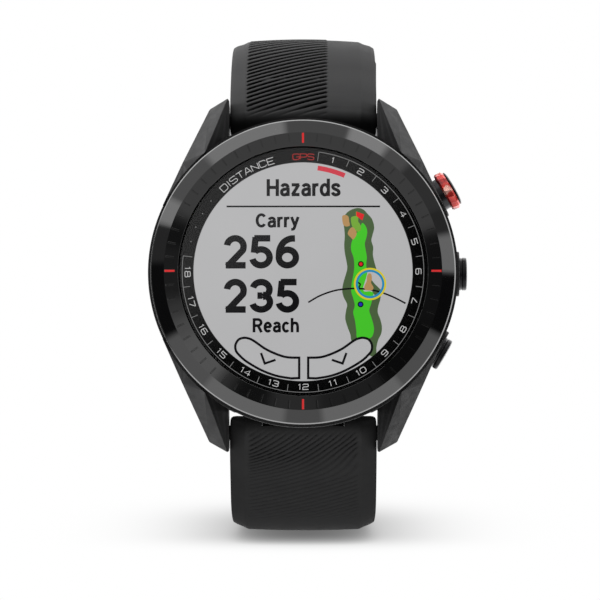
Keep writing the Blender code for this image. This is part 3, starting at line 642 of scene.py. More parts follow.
def softened(profile, radius, steps=3, closed=True):
    """The profile with each corner replaced by a small curve."""
    out = []
    count = len(profile)
    for i, point in enumerate(profile):
        if not closed and i in (0, count - 1):
            out.append(point)
            continue
        corner = Vector(point)
        before = Vector(profile[i - 1]) - corner
        after = Vector(profile[(i + 1) % count]) - corner
        reach = min(radius, before.length * 0.45, after.length * 0.45)
        start = corner + before.normalized() * reach
        end = corner + after.normalized() * reach
        for k in range(steps + 1):
            t = k / steps
            out.append(tuple((1 - t) ** 2 * start + 2 * t * (1 - t) * corner + t * t * end))
    return out


def disc(radius, bottom, top, chamfer=0.0, segments=128):
    profile = [(0, bottom), (radius, bottom), (radius, top), (0, top)]
    if chamfer:
        profile = softened(profile, chamfer, closed=False)
    return turned(profile, segments)


def rod(radius, left, right, segments=48, round_end=0.0):
    """A rod along x."""
    solid = disc(radius, left, right, round_end, segments)
    turn = Matrix.Rotation(math.pi / 2, 3, "Y")
    bmesh.ops.rotate(solid, cent=(0, 0, 0), matrix=turn, verts=solid.verts)
    return solid


def prism(points, bottom, top, solid=None):
    solid = solid or bmesh.new()
    low = [solid.verts.new((x, y, bottom)) for x, y in points]
    high = [solid.verts.new((x, y, top)) for x, y in points]
    solid.faces.new(low[::-1])
    solid.faces.new(high)
    skin(solid, [low, high])
    return solid


def block(x0, x1, y0, y1, z0, z1):
    return prism([(x0, y0), (x1, y0), (x1, y1), (x0, y1)], z0, z1)


def band_prism(outer, inner, bottom, top, solid):
    """The band between two closed outlines of equal length."""
    edges = ((outer, bottom), (inner, bottom), (inner, top), (outer, top))
    rows = [[solid.verts.new((x, y, z)) for x, y in outline] for outline, z in edges]
    skin(solid, rows + rows[:1])


def rounded(half_x, half_y, radius, steps=8):
    """A rectangle with round corners."""
    points = []
    for side_x, side_y, start in ((1, 1, 0), (-1, 1, 90), (-1, -1, 180), (1, -1, 270)):
        for i in range(steps + 1):
            x, y = polar(radius, math.radians(start + 90 * i / steps))
            points.append((side_x * (half_x - radius) + x, side_y * (half_y - radius) + y))
    return points


def circle(x, y, radius, steps=40):
    offsets = [polar(radius, math.tau * i / steps) for i in range(steps)]
    return [(x + dx, y + dy) for dx, dy in offsets]


def arc_band(inner, outer, start, end, steps=24):
    """A band between two radii, from start to end degrees clockwise from 12 o'clock."""
    points = []
    for radius, order in ((outer, range(steps + 1)), (inner, range(steps, -1, -1))):
        points += [polar(radius, clock(start + (end - start) * i / steps)) for i in order]
    return points


def curve_through(points, closed=True, steps=6):
    """A smooth curve through the points."""
    out = []
    count = len(points)
    for i in range(count if closed else count - 1):
        near = range(i - 1, i + 3)
        picks = [k % count if closed else min(count - 1, max(0, k)) for k in near]
        before, start, end, after = (Vector(points[k]) for k in picks)
        linear = end - before
        square = 2 * before - 5 * start + 4 * end - after
        cube = 3 * start - before - 3 * end + after
        for step in range(steps):
            t = step / steps
            out.append(tuple(0.5 * (2 * start + linear * t + square * t * t + cube * t**3)))
    if not closed:
        out.append(tuple(points[-1]))
    return out


def ribbon(points, width, closed=False):
    """The outline, or the two outlines when closed, of a line of even width, mitred."""
    points = [Vector(point) for point in points]
    count = len(points)
    left, right = [], []
    for i, point in enumerate(points):
        normals = []
        if i or closed:
            along = (point - points[i - 1]).normalized()
            normals.append(Vector((-along.y, along.x)))
        if i < count - 1 or closed:
            along = (points[(i + 1) % count] - point).normalized()
            normals.append(Vector((-along.y, along.x)))
        mitre = sum(normals, Vector((0, 0))).normalized()
        stretch = min(1.6, 1.0 / max(0.3, mitre.dot(normals[0])))
        left.append(tuple(point + mitre * width / 2 * stretch))
        right.append(tuple(point - mitre * width / 2 * stretch))
    if closed:
        return left, right
    return left + right[::-1]


def layer(name, material, shapes, bottom, top):
    """Thin flat shapes at one height: each is a polygon, or a pair of outlines for a band."""
    solid = bmesh.new()
    for shape in shapes:
        if isinstance(shape[0], list):
            band_prism(shape[0], shape[1], bottom, top, solid)
        else:
            prism(shape, bottom, top, solid)
    piece(to_object(name, solid, weld=0, sharp=30), material, "case")


# ---- Case -----------------------------------------------------------------------------------
CASE_PROFILE = [
    (17.0, CASE_BOTTOM), (21.9, CASE_BOTTOM), (23.1, 2.6), (CASE_R, 4.2),
    (CASE_R, 12.15), (23.25, CASE_TOP), (17.0, CASE_TOP),
]
CAVITY_PROFILE = [
    (0.0, 0.5), (20.4, 0.5), (20.4, SEAT_Z), (20.05, SEAT_Z), (20.05, 3.65), (19.25, 3.65),
    (19.25, SEAT_Z), (CAVITY_R, SEAT_Z), (CAVITY_R, FLANGE_Z), (FLANGE_R, FLANGE_Z),
    (FLANGE_R, 14.0), (0.0, 14.0),
]
BUTTON_BORE = [
    (0.0, 16.0), (2.4, 16.0), (2.4, WELL_FLOOR), (WELL_R, WELL_FLOOR),
    (WELL_R, 23.55), (2.85, 24.0), (2.85, 26.0), (0.0, 26.0),
]
# Corners (x, y, z) of the lug at the upper right; its hull is the lug.
LUG_CORNERS = [
    (21.3, 10.05, 12.3), (18.3, 16.85, 9.8), (14.9, 18.1, 12.3), (11.55, 27.1, 4.85),
    (14.35, 25.5, 3.6), (LUG_IN, 20.6, 5.0), (LUG_IN, 26.9, 2.9), (LUG_IN, 26.2, -2.3),
    (13.7, 24.6, -2.1), (LUG_IN, 22.3, -2.0), (15.2, 21.0, -0.6), (21.0, 10.2, 2.4),
    (18.6, 14.8, 1.6), (LUG_IN, 16.6, 1.6), (LUG_IN, 16.6, 6.0), (17.0, 12.0, 12.3),
    (17.0, 11.0, 2.4),
]


def lug(side_x, side_y):
    solid = bmesh.new()
    for x, y, z in LUG_CORNERS:
        solid.verts.new((side_x * x, side_y * y, z))
    hull = bmesh.ops.convex_hull(solid, input=solid.verts)
    spare = hull["geom_interior"] + hull["geom_unused"]
    loose = {item for item in spare if isinstance(item, bmesh.types.BMVert)}
    bmesh.ops.delete(solid, geom=list(loose), context="VERTS")
    flat = math.radians(0.5)
    bmesh.ops.dissolve_limit(solid, angle_limit=flat, verts=solid.verts, edges=solid.edges)
    bmesh.ops.bevel(
        solid, geom=list(solid.edges), offset=0.2, segments=3, profile=0.5, affect="EDGES",
        clamp_overlap=True,
    )
    return to_object("lug", solid)


def screw_boss(x, y):
    """A block round a screw that reaches out into the case wall."""
    outer = 19.6 - math.hypot(x, y)
    angle = math.degrees(math.atan2(y, x))
    solid = block(-1.9, outer, -1.9, 1.9, 3.75, 6.9)
    return to_object("screw_boss", solid, place(x, y, 0, (0, 0, angle)))


def case_cuts():
    cuts = [to_object("cavity", turned(CAVITY_PROFILE, 240))]
    # The bezel stands off the case with a narrow gap round it.
    gap = [(22.5, 11.8), (23.52, 11.8), (23.52, 14.0), (22.5, 14.0)]
    cuts.append(to_object("gap", turned(gap, 240)))
    for side in (1, -1):
        y0, y1 = sorted((side * POCKET_Y, side * 32.0))
        cuts.append(to_object("pocket", block(-LUG_IN, LUG_IN, y0, y1, -6.0, POCKET_TOP)))
        pin_hole = rod(PIN_R + 0.1, -13.6, 13.6)
        cuts.append(to_object("pin_hole", pin_hole, place(0, side * PIN_Y, PIN_Z)))
    for angle in BUTTONS.values():
        cuts.append(to_object("bore", turned(BUTTON_BORE, 64), button_frame(angle)))
    return cuts


def case():
    body = to_object("case_body_look", turned(softened(CASE_PROFILE, 0.35), 240))
    adds = [lug(side_x, side_y) for side_x in (1, -1) for side_y in (1, -1)]
    for angle in BUTTONS.values():
        boss = disc(BOSS_R, 20.5, BOSS_TOP, 0.18, 72)
        adds.append(to_object("boss", boss, button_frame(angle)))
    screw_bosses = [screw_boss(x, y) for x, y in SCREWS]
    combine(body, adds, "UNION")
    combine(body, case_cuts())
    # The screw bosses go on after the cavity is cut, so they stand inside it.
    combine(body, screw_bosses, "UNION")
    holes = [to_object("hole", disc(0.78, 2.0, 6.4, 0, 24), place(x, y)) for x, y in SCREWS]
    combine(body, holes, sharp=28)
    piece(body, "case_polymer", "case", "case_body")


case()


# ---- Bezel: 60 engraved ticks on its flat, red at 12, 3, 6 and 9 o'clock --------------------
FLAT_IN, FLAT_OUT = (18.9, 15.33), (21.0, 15.1)
BEZEL_PROFILE = [
    FLAT_OUT, (22.93, 13.17), (BEZEL_R, 12.8), (BEZEL_R, 12.7), (22.9, BEZEL_BOTTOM),
    (BEZEL_BORE, BEZEL_BOTTOM), (BEZEL_BORE, 15.24), FLAT_IN,
]
# Radial stations on the flat, and which of them sink in a plain tick and in a red one.
FLAT_RADII = [19.1, 19.3, 19.36, 19.57, 19.63, 19.9, 20.2, 20.5, 20.79, 20.85, 20.9, 20.95]
SUNK = {False: range(4, 9), True: range(2, 11)}
TICK_HALF = {False: 0.1, True: 0.155}
TICK_R, TICK_WALL, TICK_DEPTH = 20.1, 0.03, 0.004


def flat_height(radius):
    share = (radius - FLAT_IN[0]) / (FLAT_OUT[0] - FLAT_IN[0])
    return FLAT_IN[1] + share * (FLAT_OUT[1] - FLAT_IN[1])


def bezel_columns():
    """(degrees clockwise from 12 o'clock, sunk, red) of each section round the bezel."""
    columns = []
    for k in range(60):
        red = k % 15 == 0
        floor_edge = math.degrees(TICK_HALF[red] / TICK_R)
        wall_edge = math.degrees((TICK_HALF[red] + TICK_WALL) / TICK_R)
        tick = [(-wall_edge, 0), (-floor_edge, 1), (0, 1), (floor_edge, 1), (wall_edge, 0)]
        for offset, down in tick + [(1.6, 0), (3.0, 0), (4.4, 0)]:
            columns.append((6.0 * k + offset, down, red))
    return columns


def bezel():
    outer = softened(BEZEL_PROFILE, 0.05, 2, closed=False)
    columns = bezel_columns()
    solid = bmesh.new()
    rings = []
    for degrees, down, red in columns:
        section = list(outer)
        for i, radius in enumerate(FLAT_RADII):
            sink = TICK_DEPTH if down and i in SUNK[red] else 0.0
            section.append((radius, flat_height(radius) - sink))
        angle = clock(degrees)
        rings.append([solid.verts.new((*polar(radius, angle), z)) for radius, z in section])
    count = len(rings[0])
    flat_start = count - len(FLAT_RADII)
    for c, (first, second) in enumerate(zip(rings, rings[1:] + rings[:1])):
        red = columns[c][2]
        down = columns[c][1] and columns[(c + 1) % len(columns)][1]
        for i in range(count):
            j = (i + 1) % count
            face = solid.faces.new((first[i], second[i], second[j], first[j]))
            if down and i - flat_start in SUNK[red][:-1]:
                face.material_index = 2 if red else 1
    obj = to_object("bezel_look", solid, weld=1e-6, sharp=3)
    for material in ("bezel_ceramic", "bezel_tick", "bezel_red"):
        obj.data.materials.append(MATERIALS[material])
    piece(obj, None, "case", "bezel")


bezel()
stand_in("lens", disc(LENS_R, LENS_Z0, LENS_Z1, 0.16, 240), "lens_glass", sharp=5)
stand_in(
    "display_module", disc(DISPLAY_R, DISPLAY_Z0, DISPLAY_Z1, 0.1, 192), "display_panel"
) if False else piece(
    to_object("display_look", disc(DISPLAY_R, DISPLAY_Z0, DISPLAY_Z1, 0.1, 192)),
    "display_panel", "case", "display_module",
)
DIAL_PROFILE = [
    (DIAL_R0, DIAL_Z0), (DIAL_R1, DIAL_Z0), (DIAL_R1, DIAL_Z1), (DIAL_R0 + 0.06, DIAL_Z1)
]
stand_in("dial_ring", turned(softened(DIAL_PROFILE, 0.04, 2), 240), "dial_print")


# ---- Display picture. Outlines are (x, y) from the display's centre -------------------------
MAP_ROUGH = [
    (8.2, 9.65), (9.11, 9.43), (9.86, 8.67), (10.47, 7.91), (10.77, 6.7), (10.54, 5.64),
    (10.35, 4.74), (10.62, 3.68), (10.57, 2.62), (10.77, 1.56), (11.07, 0.5), (11.38, -0.71),
    (11.68, -1.92), (11.78, -3.13), (11.68, -4.19), (11.38, -5.25), (11.3, -6.16),
    (11.68, -7.22), (11.92, -8.28), (11.83, -9.33), (11.35, -10.39), (11.1, -11.45),
    (11.03, -12.36), (10.32, -12.81), (8.35, -11.3), (7.37, -10.54), (7.14, -9.49),
    (6.69, -8.28), (6.38, -7.07), (6.51, -5.85), (6.66, -4.95), (6.16, -3.89), (5.93, -2.98),
    (6.04, -1.92), (6.38, -0.71), (6.69, 0.5), (6.54, 1.71), (6.31, 2.92), (6.23, 4.13),
    (6.31, 5.34), (6.23, 6.55), (6.08, 7.61), (6.31, 8.52), (7.06, 9.27),
]
MAP_FAIRWAY = [
    (8.96, 7.38), (9.46, 6.93), (9.71, 6.1), (9.59, 5.19), (9.35, 4.28), (9.49, 3.22),
    (9.65, 2.16), (9.56, 1.1), (9.71, 0.2), (10.24, -1.01), (10.7, -2.38), (10.54, -3.74),
    (10.32, -4.8), (10.01, -5.85), (10.32, -6.91), (10.65, -8.12), (10.7, -9.03),
    (10.32, -9.94), (9.26, -10.17), (8.2, -10.02), (8.05, -8.88), (7.85, -7.37), (7.59, -6.16),
    (7.82, -5.1), (7.59, -4.04), (7.29, -2.98), (7.37, -1.77), (7.59, -0.56), (7.75, 0.65),
    (7.67, 2.01), (7.29, 3.22), (7.29, 4.13), (7.59, 5.04), (8.2, 5.95), (8.65, 6.7),
]
MAP_GREEN = [
    (7.29, 8.21), (7.9, 8.44), (8.35, 8.21), (8.35, 7.61), (8.65, 7.16), (8.8, 6.55),
    (8.5, 6.1), (7.9, 6.17), (7.52, 6.7), (7.29, 7.46),
]
MAP_BUNKERS = [
    [
        (5.93, 8.37), (6.38, 8.59), (6.84, 8.37), (6.99, 7.61), (7.06, 7.0), (6.54, 6.85),
        (6.08, 7.16),
    ],
    [
        (7.14, 6.55), (7.59, 6.7), (8.05, 6.1), (8.05, 5.49), (7.59, 4.89), (7.22, 5.19),
        (6.76, 5.79),
    ],
]
MAP_FLAG = [(8.05, 9.12), (8.5, 8.97), (9.26, 8.67), (8.96, 7.76), (8.5, 8.14), (8.05, 8.44)]
MAP_POLE = [(8.0, 7.4), (8.1, 7.4), (8.1, 9.1), (8.0, 9.1)]
LAYUP_ARC = [
    (0.8, -4.65), (2.6, -3.62), (4.85, -2.85), (7.15, -2.57), (9.0, -2.6), (11.2, -2.95),
    (13.5, -3.78), (15.5, -4.8),
]
# What the aim ring shows, as offsets from its centre.
AIM_X, AIM_Y = 10.13, -1.87
AIM_FAIRWAY = [
    (-2.08, 0.71), (-1.78, 1.46), (-1.02, 1.92), (-0.42, 1.92), (-0.57, 1.01), (-0.8, 0.25),
    (-1.02, -0.51), (-0.87, -1.11), (0.04, -1.11), (0.54, -1.41), (0.26, -2.02),
    (-0.57, -2.17), (-1.63, -1.64), (-2.08, -0.66),
]
AIM_ROUGH = [
    (0.19, 0.63), (0.64, 0.1), (1.25, -0.51), (1.7, -1.03), (1.25, -1.49), (0.79, -1.72),
    (0.41, -1.26), (0.26, -0.81), (0.08, 0.02),
]
AIM_SAND = [
    (-0.19, 1.61), (0.19, 1.46), (0.29, 0.78), (0.16, 0.18), (0.52, -0.51), (0.26, -0.96),
    (-0.64, -0.91), (-0.87, -0.43), (-0.52, 0.4), (-0.45, 1.16),
]
AIM_MARK = [(-1.87, 0.28), (-1.48, -0.05), (-1.66, -0.51), (-1.45, -0.84)]
# The left soft key and its chevron; the right ones mirror them about KEY_X.
KEY_X = 0.1
SOFT_KEY = [
    (-0.68, -16.1), (-0.68, -13.02), (-2.9, -12.88), (-5.5, -11.85), (-7.5, -10.5),
    (-8.35, -10.1), (-9.1, -10.02), (-9.85, -10.3), (-10.3, -11.05), (-10.27, -11.85),
    (-9.9, -12.45), (-8.7, -13.55), (-6.4, -14.9), (-4.15, -15.75), (-1.9, -16.15),
]
CHEVRON = [(-6.45, -12.3), (-5.88, -13.9), (-4.25, -13.35)]
TITLE_RULE = [(-11.57, 9.76), (11.66, 9.76), (11.66, 10.02), (-11.57, 10.02)]

# Plain sans letters drawn as strokes on a cap height of 1: the width, then the strokes.
# L is straight and S a smooth curve, through (x, y) points. E is an ellipse (centre x, y,
# radius x, y), and A is part of one, followed by its start and end in degrees.
LETTERS = {
    "2": (0.7, [
        ("A", 0.345, 0.665, 0.255, 0.25, 172, -22),
        ("L", (0.6, 0.6), (0.575, 0.545), (0.1, 0.05)),
        ("L", (0.05, 0.085), (0.665, 0.085)),
    ]),
    "3": (0.7, [
        ("A", 0.335, 0.69, 0.255, 0.225, 165, -80),
        ("A", 0.335, 0.31, 0.27, 0.225, 80, -165),
        ("L", (0.22, 0.505), (0.37, 0.505)),
    ]),
    "5": (0.69, [
        ("L", (0.13, 0.915), (0.62, 0.915)),
        ("L", (0.17, 0.95), (0.12, 0.47)),
        ("A", 0.335, 0.33, 0.265, 0.245, 135, -168),
    ]),
    "6": (0.71, [
        ("E", 0.355, 0.325, 0.262, 0.24),
        ("S", (0.59, 0.91), (0.42, 0.895), (0.24, 0.79), (0.12, 0.58), (0.093, 0.33)),
    ]),
    "C": (0.7, [("A", 0.37, 0.5, 0.28, 0.415, 40, 320)]),
    "H": (0.7, [
        ("L", (0.09, 0.0), (0.09, 1.0)),
        ("L", (0.61, 0.0), (0.61, 1.0)),
        ("L", (0.09, 0.51), (0.61, 0.51)),
    ]),
    "R": (0.68, [
        ("L", (0.09, 0.0), (0.09, 1.0)),
        ("L", (0.05, 0.92), (0.36, 0.92)),
        ("A", 0.35, 0.7, 0.235, 0.22, 90, -90),
        ("L", (0.05, 0.48), (0.36, 0.48)),
        ("L", (0.36, 0.5), (0.61, 0.0)),
    ]),
    "a": (0.55, [
        ("S", (0.1, 0.55), (0.16, 0.64), (0.28, 0.675), (0.4, 0.63), (0.455, 0.5)),
        ("L", (0.455, 0.5), (0.455, 0.0)),
        ("S", (0.455, 0.415), (0.28, 0.41), (0.13, 0.35), (0.088, 0.225), (0.13, 0.11),
         (0.25, 0.072), (0.37, 0.11), (0.455, 0.2)),
    ]),
    "c": (0.52, [("A", 0.28, 0.372, 0.195, 0.3, 42, 318)]),
    "d": (0.58, [
        ("L", (0.49, 0.0), (0.49, 1.03)),
        ("A", 0.285, 0.372, 0.2, 0.3, 25, 335),
    ]),
    "e": (0.56, [
        ("L", (0.08, 0.385), (0.5, 0.385)),
        ("A", 0.285, 0.372, 0.2, 0.3, 2, 318),
    ]),
    "h": (0.57, [
        ("L", (0.09, 0.0), (0.09, 1.03)),
        ("S", (0.09, 0.5), (0.17, 0.63), (0.29, 0.675), (0.42, 0.63), (0.48, 0.47)),
        ("L", (0.48, 0.48), (0.48, 0.0)),
    ]),
    "r": (0.36, [
        ("L", (0.09, 0.0), (0.09, 0.75)),
        ("S", (0.09, 0.47), (0.14, 0.6), (0.23, 0.665), (0.36, 0.665)),
    ]),
    "s": (0.53, [
        ("S", (0.455, 0.53), (0.39, 0.645), (0.265, 0.675), (0.13, 0.63), (0.1, 0.53),
         (0.17, 0.435), (0.36, 0.345), (0.44, 0.25), (0.42, 0.13), (0.27, 0.07),
         (0.13, 0.115), (0.07, 0.22)),
    ]),
    "y": (0.54, [
        ("L", (0.05, 0.75), (0.285, 0.1)),
        ("S", (0.49, 0.75), (0.32, 0.24), (0.24, -0.02), (0.16, -0.13), (0.03, -0.14)),
    ]),
    "z": (0.52, [
        ("L", (0.04, 0.665), (0.48, 0.665)),
        ("L", (0.44, 0.68), (0.08, 0.07)),
        ("L", (0.04, 0.085), (0.49, 0.085)),
    ]),
}


def show(name, material, height, *shapes):
    """Shapes standing height off the display."""
    layer(name, material, shapes, DISPLAY_Z1, DISPLAY_Z1 + height)


def ellipse_arc(x, y, radius_x, radius_y, start=None, end=None):
    """Points of part of an ellipse, or of a whole one when no angles are given."""
    steps = 40
    whole = start is None
    if whole:
        start, end = 0, 360
    points = []
    for i in range(steps + (0 if whole else 1)):
        angle = math.radians(start + (end - start) * i / steps)
        points.append((x + radius_x * math.cos(angle), y + radius_y * math.sin(angle)))
    return points


def text(name, words, box, weight=0.195, gap=0.085):
    """Lettering that fills box (left, right, bottom, top); top is the cap height."""
    left, right, bottom, top = box
    size = top - bottom
    natural = sum(LETTERS[c][0] for c in words) + gap * (len(words) - 1)
    stretch = (right - left) / (natural * size)
    start = 0.0
    shapes = []
    for letter in words:
        width, strokes = LETTERS[letter]
        for kind, *data in strokes:
            closed = kind == "E"
            if kind == "L":
                points = data
            elif kind == "S":
                points = curve_through(data, closed=False)
            else:
                points = ellipse_arc(*data)
            outlines = ribbon(points, weight, closed)
            moved = [
                [(left + (start + x) * size * stretch, bottom + y * size) for x, y in outline]
                for outline in (outlines if closed else (outlines,))
            ]
            shapes.append(moved if closed else moved[0])
        start += width + gap
    show(name, "ui_ink", 0.03, *shapes)


def course_map():
    show("map_rough", "ui_rough", 0.02, curve_through(MAP_ROUGH))
    show("map_fairway", "ui_fairway", 0.03, curve_through(MAP_FAIRWAY))
    show("map_green", "ui_green", 0.04, curve_through(MAP_GREEN))
    show("map_sand", "ui_sand", 0.045, *[curve_through(bunker) for bunker in MAP_BUNKERS])
    show("map_flag", "ui_red", 0.055, MAP_FLAG)
    show("map_flag_pole", "ui_green", 0.05, MAP_POLE)


def aim_ring():
    """The ring with a bunker in it, and the lay-up arc that runs behind it."""

    def curve(offsets, closed=True):
        return curve_through([(AIM_X + x, AIM_Y + y) for x, y in offsets], closed)

    def band(outer, inner):
        return [circle(AIM_X, AIM_Y, radius, 64) for radius in (outer, inner)]

    arc = curve_through(LAYUP_ARC, closed=False)
    show("layup_arc", "ui_ink", 0.048, ribbon(arc, 0.25))
    show("aim_field", "ui_key", 0.04, circle(AIM_X, AIM_Y, 2.3, 56))
    show("aim_fairway", "ui_fairway", 0.046, curve(AIM_FAIRWAY))
    show("aim_rough", "ui_rough", 0.0465, curve(AIM_ROUGH))
    show("aim_sand", "ui_sand", 0.05, curve(AIM_SAND))
    show("aim_mark", "ui_ink", 0.05, ribbon(curve(AIM_MARK, closed=False), 0.22))
    show("aim_ring_blue", "ui_blue", 0.055, band(2.17, 1.83))
    show("aim_ring_yellow", "ui_yellow", 0.057, band(2.45, 2.17))


def targets():
    for name, x, y, colour in (
        ("near", 8.75, 1.15, "ui_red"),
        ("far", 8.7, -4.95, "ui_deep_blue"),
    ):
        show(f"target_{name}_edge", "ui_ink", 0.05, circle(x, y, 0.45, 32))
        show(f"target_{name}", colour, 0.06, circle(x, y, 0.27, 32))


def soft_keys():
    for name, side in (("left", 1), ("right", -1)):
        corners = [(side * x + KEY_X, y) for x, y in SOFT_KEY]
        # The two corners at the middle stay sharp; the rest is one smooth curve.
        outline = [corners[0]] + curve_through(corners[1:], closed=False, steps=5)
        show(f"key_{name}_fill", "ui_key", 0.06, outline)
        show(f"key_{name}_line", "ui_ink", 0.065, ribbon(outline, 0.36, closed=True))
        chevron = [(side * x + KEY_X, y) for x, y in CHEVRON]
        show(f"key_{name}_chevron", "ui_ink", 0.07, ribbon(chevron, 0.35))


course_map()
aim_ring()
targets()
soft_keys()
show("title_rule", "ui_ink", 0.03, TITLE_RULE)
show("hole_progress", "ui_rose", 0.03, arc_band(15.52, 16.24, 8.0, 23.4))
text("title", "Hazards", (-5.5, 5.66, 11.47, 14.03), weight=0.19, gap=0.075)
text("label_carry", "Carry", (-7.15, -0.62, 6.72, 8.83))
text("number_carry", "256", (-11.95, -0.62, 0.55, 5.48), weight=0.2, gap=0.1)
text("number_reach", "235", (-11.95, -0.62, -6.15, -1.15), weight=0.2, gap=0.1)
text("label_reach", "Reach", (-7.6, -0.62, -9.18, -7.07))


# ---- Dial ring print: squared strokes of (x, y) points on a 1 by 1 cell ---------------------
GLYPHS = {
    "0": [[(0.2, 0), (0.8, 0), (1, 0.2), (1, 0.8), (0.8, 1), (0.2, 1), (0, 0.8), (0, 0.2),
           (0.2, 0)]],
    "1": [[(0.3, 0.8), (0.55, 1), (0.55, 0)]],
    "2": [[(0, 0.85), (0.12, 1), (0.88, 1), (1, 0.85), (1, 0.65), (0.88, 0.52), (0.12, 0.48),
           (0, 0.35), (0, 0), (1, 0)]],
    "3": [[(0, 0.88), (0.12, 1), (0.85, 1), (1, 0.86), (1, 0.62), (0.86, 0.5), (1, 0.38),
           (1, 0.14), (0.85, 0), (0.12, 0), (0, 0.12)], [(0.3, 0.5), (0.86, 0.5)]],
    "4": [[(0.78, 0), (0.78, 1), (0.0, 0.3), (1.05, 0.3)]],
    "5": [[(0.98, 1), (0.02, 1), (0.02, 0.55), (0.86, 0.55), (1, 0.42), (1, 0.14), (0.86, 0),
           (0, 0)]],
    "6": [[(0.95, 1), (0.16, 1), (0, 0.84), (0, 0.16), (0.16, 0), (0.84, 0), (1, 0.16),
           (1, 0.42), (0.86, 0.55), (0.0, 0.55)]],
    "7": [[(0, 1), (1, 1), (1, 0.86), (0.42, 0)]],
    "8": [[(0.16, 0.52), (0, 0.38), (0, 0.14), (0.16, 0), (0.84, 0), (1, 0.14), (1, 0.38),
           (0.84, 0.52), (0.96, 0.64), (0.96, 0.88), (0.84, 1), (0.16, 1), (0.04, 0.88),
           (0.04, 0.64), (0.16, 0.52), (0.84, 0.52)]],
    "9": [[(0.05, 0), (0.84, 0), (1, 0.16), (1, 0.84), (0.84, 1), (0.16, 1), (0, 0.86),
           (0, 0.6), (0.14, 0.46), (1, 0.46)]],
    "A": [[(0, 0), (0.42, 1), (0.58, 1), (1, 0)], [(0.2, 0.3), (0.8, 0.3)]],
    "C": [[(1, 0.82), (0.84, 1), (0.16, 1), (0, 0.84), (0, 0.16), (0.16, 0), (0.84, 0),
           (1, 0.18)]],
    "D": [[(0, 0), (0, 1), (0.82, 1), (1, 0.82), (1, 0.18), (0.82, 0), (-0.001, 0)]],
    "E": [[(1, 1), (0.02, 1), (0.02, 0), (1, 0)], [(0.02, 0.5), (0.85, 0.5)]],
    "G": [[(1, 0.86), (0.84, 1), (0.16, 1), (0, 0.84), (0, 0.16), (0.16, 0), (0.84, 0),
           (1, 0.16), (1, 0.48), (0.55, 0.48)]],
    "I": [[(0.5, 0), (0.5, 1)]],
    "N": [[(0, 0), (0, 1)], [(0, 0.98), (1, 0.02)], [(1, 0), (1, 1)]],
    "P": [[(0, 0), (0, 1), (0.84, 1), (1, 0.86), (1, 0.56), (0.84, 0.42), (0.0, 0.42)]],
    "S": [[(1, 0.86), (0.86, 1), (0.14, 1), (0, 0.86), (0, 0.64), (0.14, 0.52), (0.86, 0.48),
           (1, 0.36), (1, 0.14), (0.86, 0), (0.14, 0), (0, 0.14)]],
    "T": [[(0, 1), (1, 1)], [(0.5, 1), (0.5, 0)]],
}
ADVANCE = {"1": 0.72, "I": 0.35}  # widths of the narrow characters; the rest are 1


def ring_text(words, degrees, radius, size, stroke, outward=True, gap=0.22, wide=1.05):
    """Strokes of words centred at degrees on the ring. Their tops point out or in."""
    shapes = []
    cell = wide * size
    widths = [ADVANCE.get(c, 1.0) * wide * size for c in words]
    start = -(sum(widths) + gap * size * (len(words) - 1)) / 2
    way = 1 if outward else -1
    for letter, width in zip(words, widths):
        middle = start + width / 2
        for points in GLYPHS[letter]:
            flat = [(middle + (x - 0.5) * cell, (y - 0.5) * size) for x, y in points]
            # The stroke is widened while flat, then each point is bent round the ring.
            shapes.append([
                polar(radius + way * y, clock(degrees) - way * x / radius)
                for x, y in ribbon(flat, stroke)
            ])
        start += width + gap * size
    return shapes


def dial_print():
    heights = (DIAL_PRINT_Z0, DIAL_PRINT_Z1)
    digits = []
    for hole in range(1, 19):
        digits += ring_text(str(hole), 15.0 * hole, 17.45, 0.8, 0.112, outward=hole <= 6)
    layer("dial_numbers", "dial_white", digits, *heights)
    word = ring_text("DISTANCE", -29.8, 17.42, 0.95, 0.105, wide=1.1, gap=0.23)
    layer("dial_word", "dial_white", word, *heights)
    word = ring_text("GPS", 0.2, 17.42, 0.84, 0.13, wide=1.15, gap=0.18)
    layer("dial_word_red", "dial_red", word, *heights)
    # A thin line outside the numbers, with a divider between each pair; the end two are longer.
    lines = [arc_band(18.22, 18.31, 7.5, 277.5, 220)]
    half = math.degrees(0.045 / 17.5)
    for k in range(19):
        middle = 7.5 + 15 * k
        inner = 16.9 if k in (0, 18) else 17.2
        lines.append(arc_band(inner, 18.24, middle - half, middle + half, 1))
    layer("dial_dividers", "dial_line", lines, DIAL_PRINT_Z0, DIAL_LINE_Z1)
    centres = [polar(17.55, clock(degrees)) for degrees in (285.0, 292.5, 300.0, 307.5)]
    dots = [circle(x, y, 0.09, 16) for x, y in centres]
    layer("dial_dots", "dial_line", dots, *heights)


dial_print()


# ---- Rear of the case -----------------------------------------------------------------------
COVER_PROFILE = [
    (5.8, 2.9), (5.8, 1.0), (7.75, 1.0), (7.75, 0.35), (9.9, 0.35), (11.2, 1.5), (20.0, 1.5),
    (20.3, 1.8), (20.3, 2.9),
]
COVER_HOLE = [(0, 1.0), (1.6, 1.0), (1.6, 2.2), (0.95, 2.2), (0.95, 3.4), (0, 3.4)]
SCREW_PROFILE = [(0, 1.6), (1.5, 1.6), (1.5, 2.15), (0.7, 2.15), (0.7, 6.2), (0, 6.2)]
# Rings printed on the sensor glass: centre x, y, radius.
SENSOR_RINGS = [(0, 3.4, 1.25), (-3.0, -1.8, 1.25), (3.0, -1.8, 1.25), (0, 0, 1.15)]


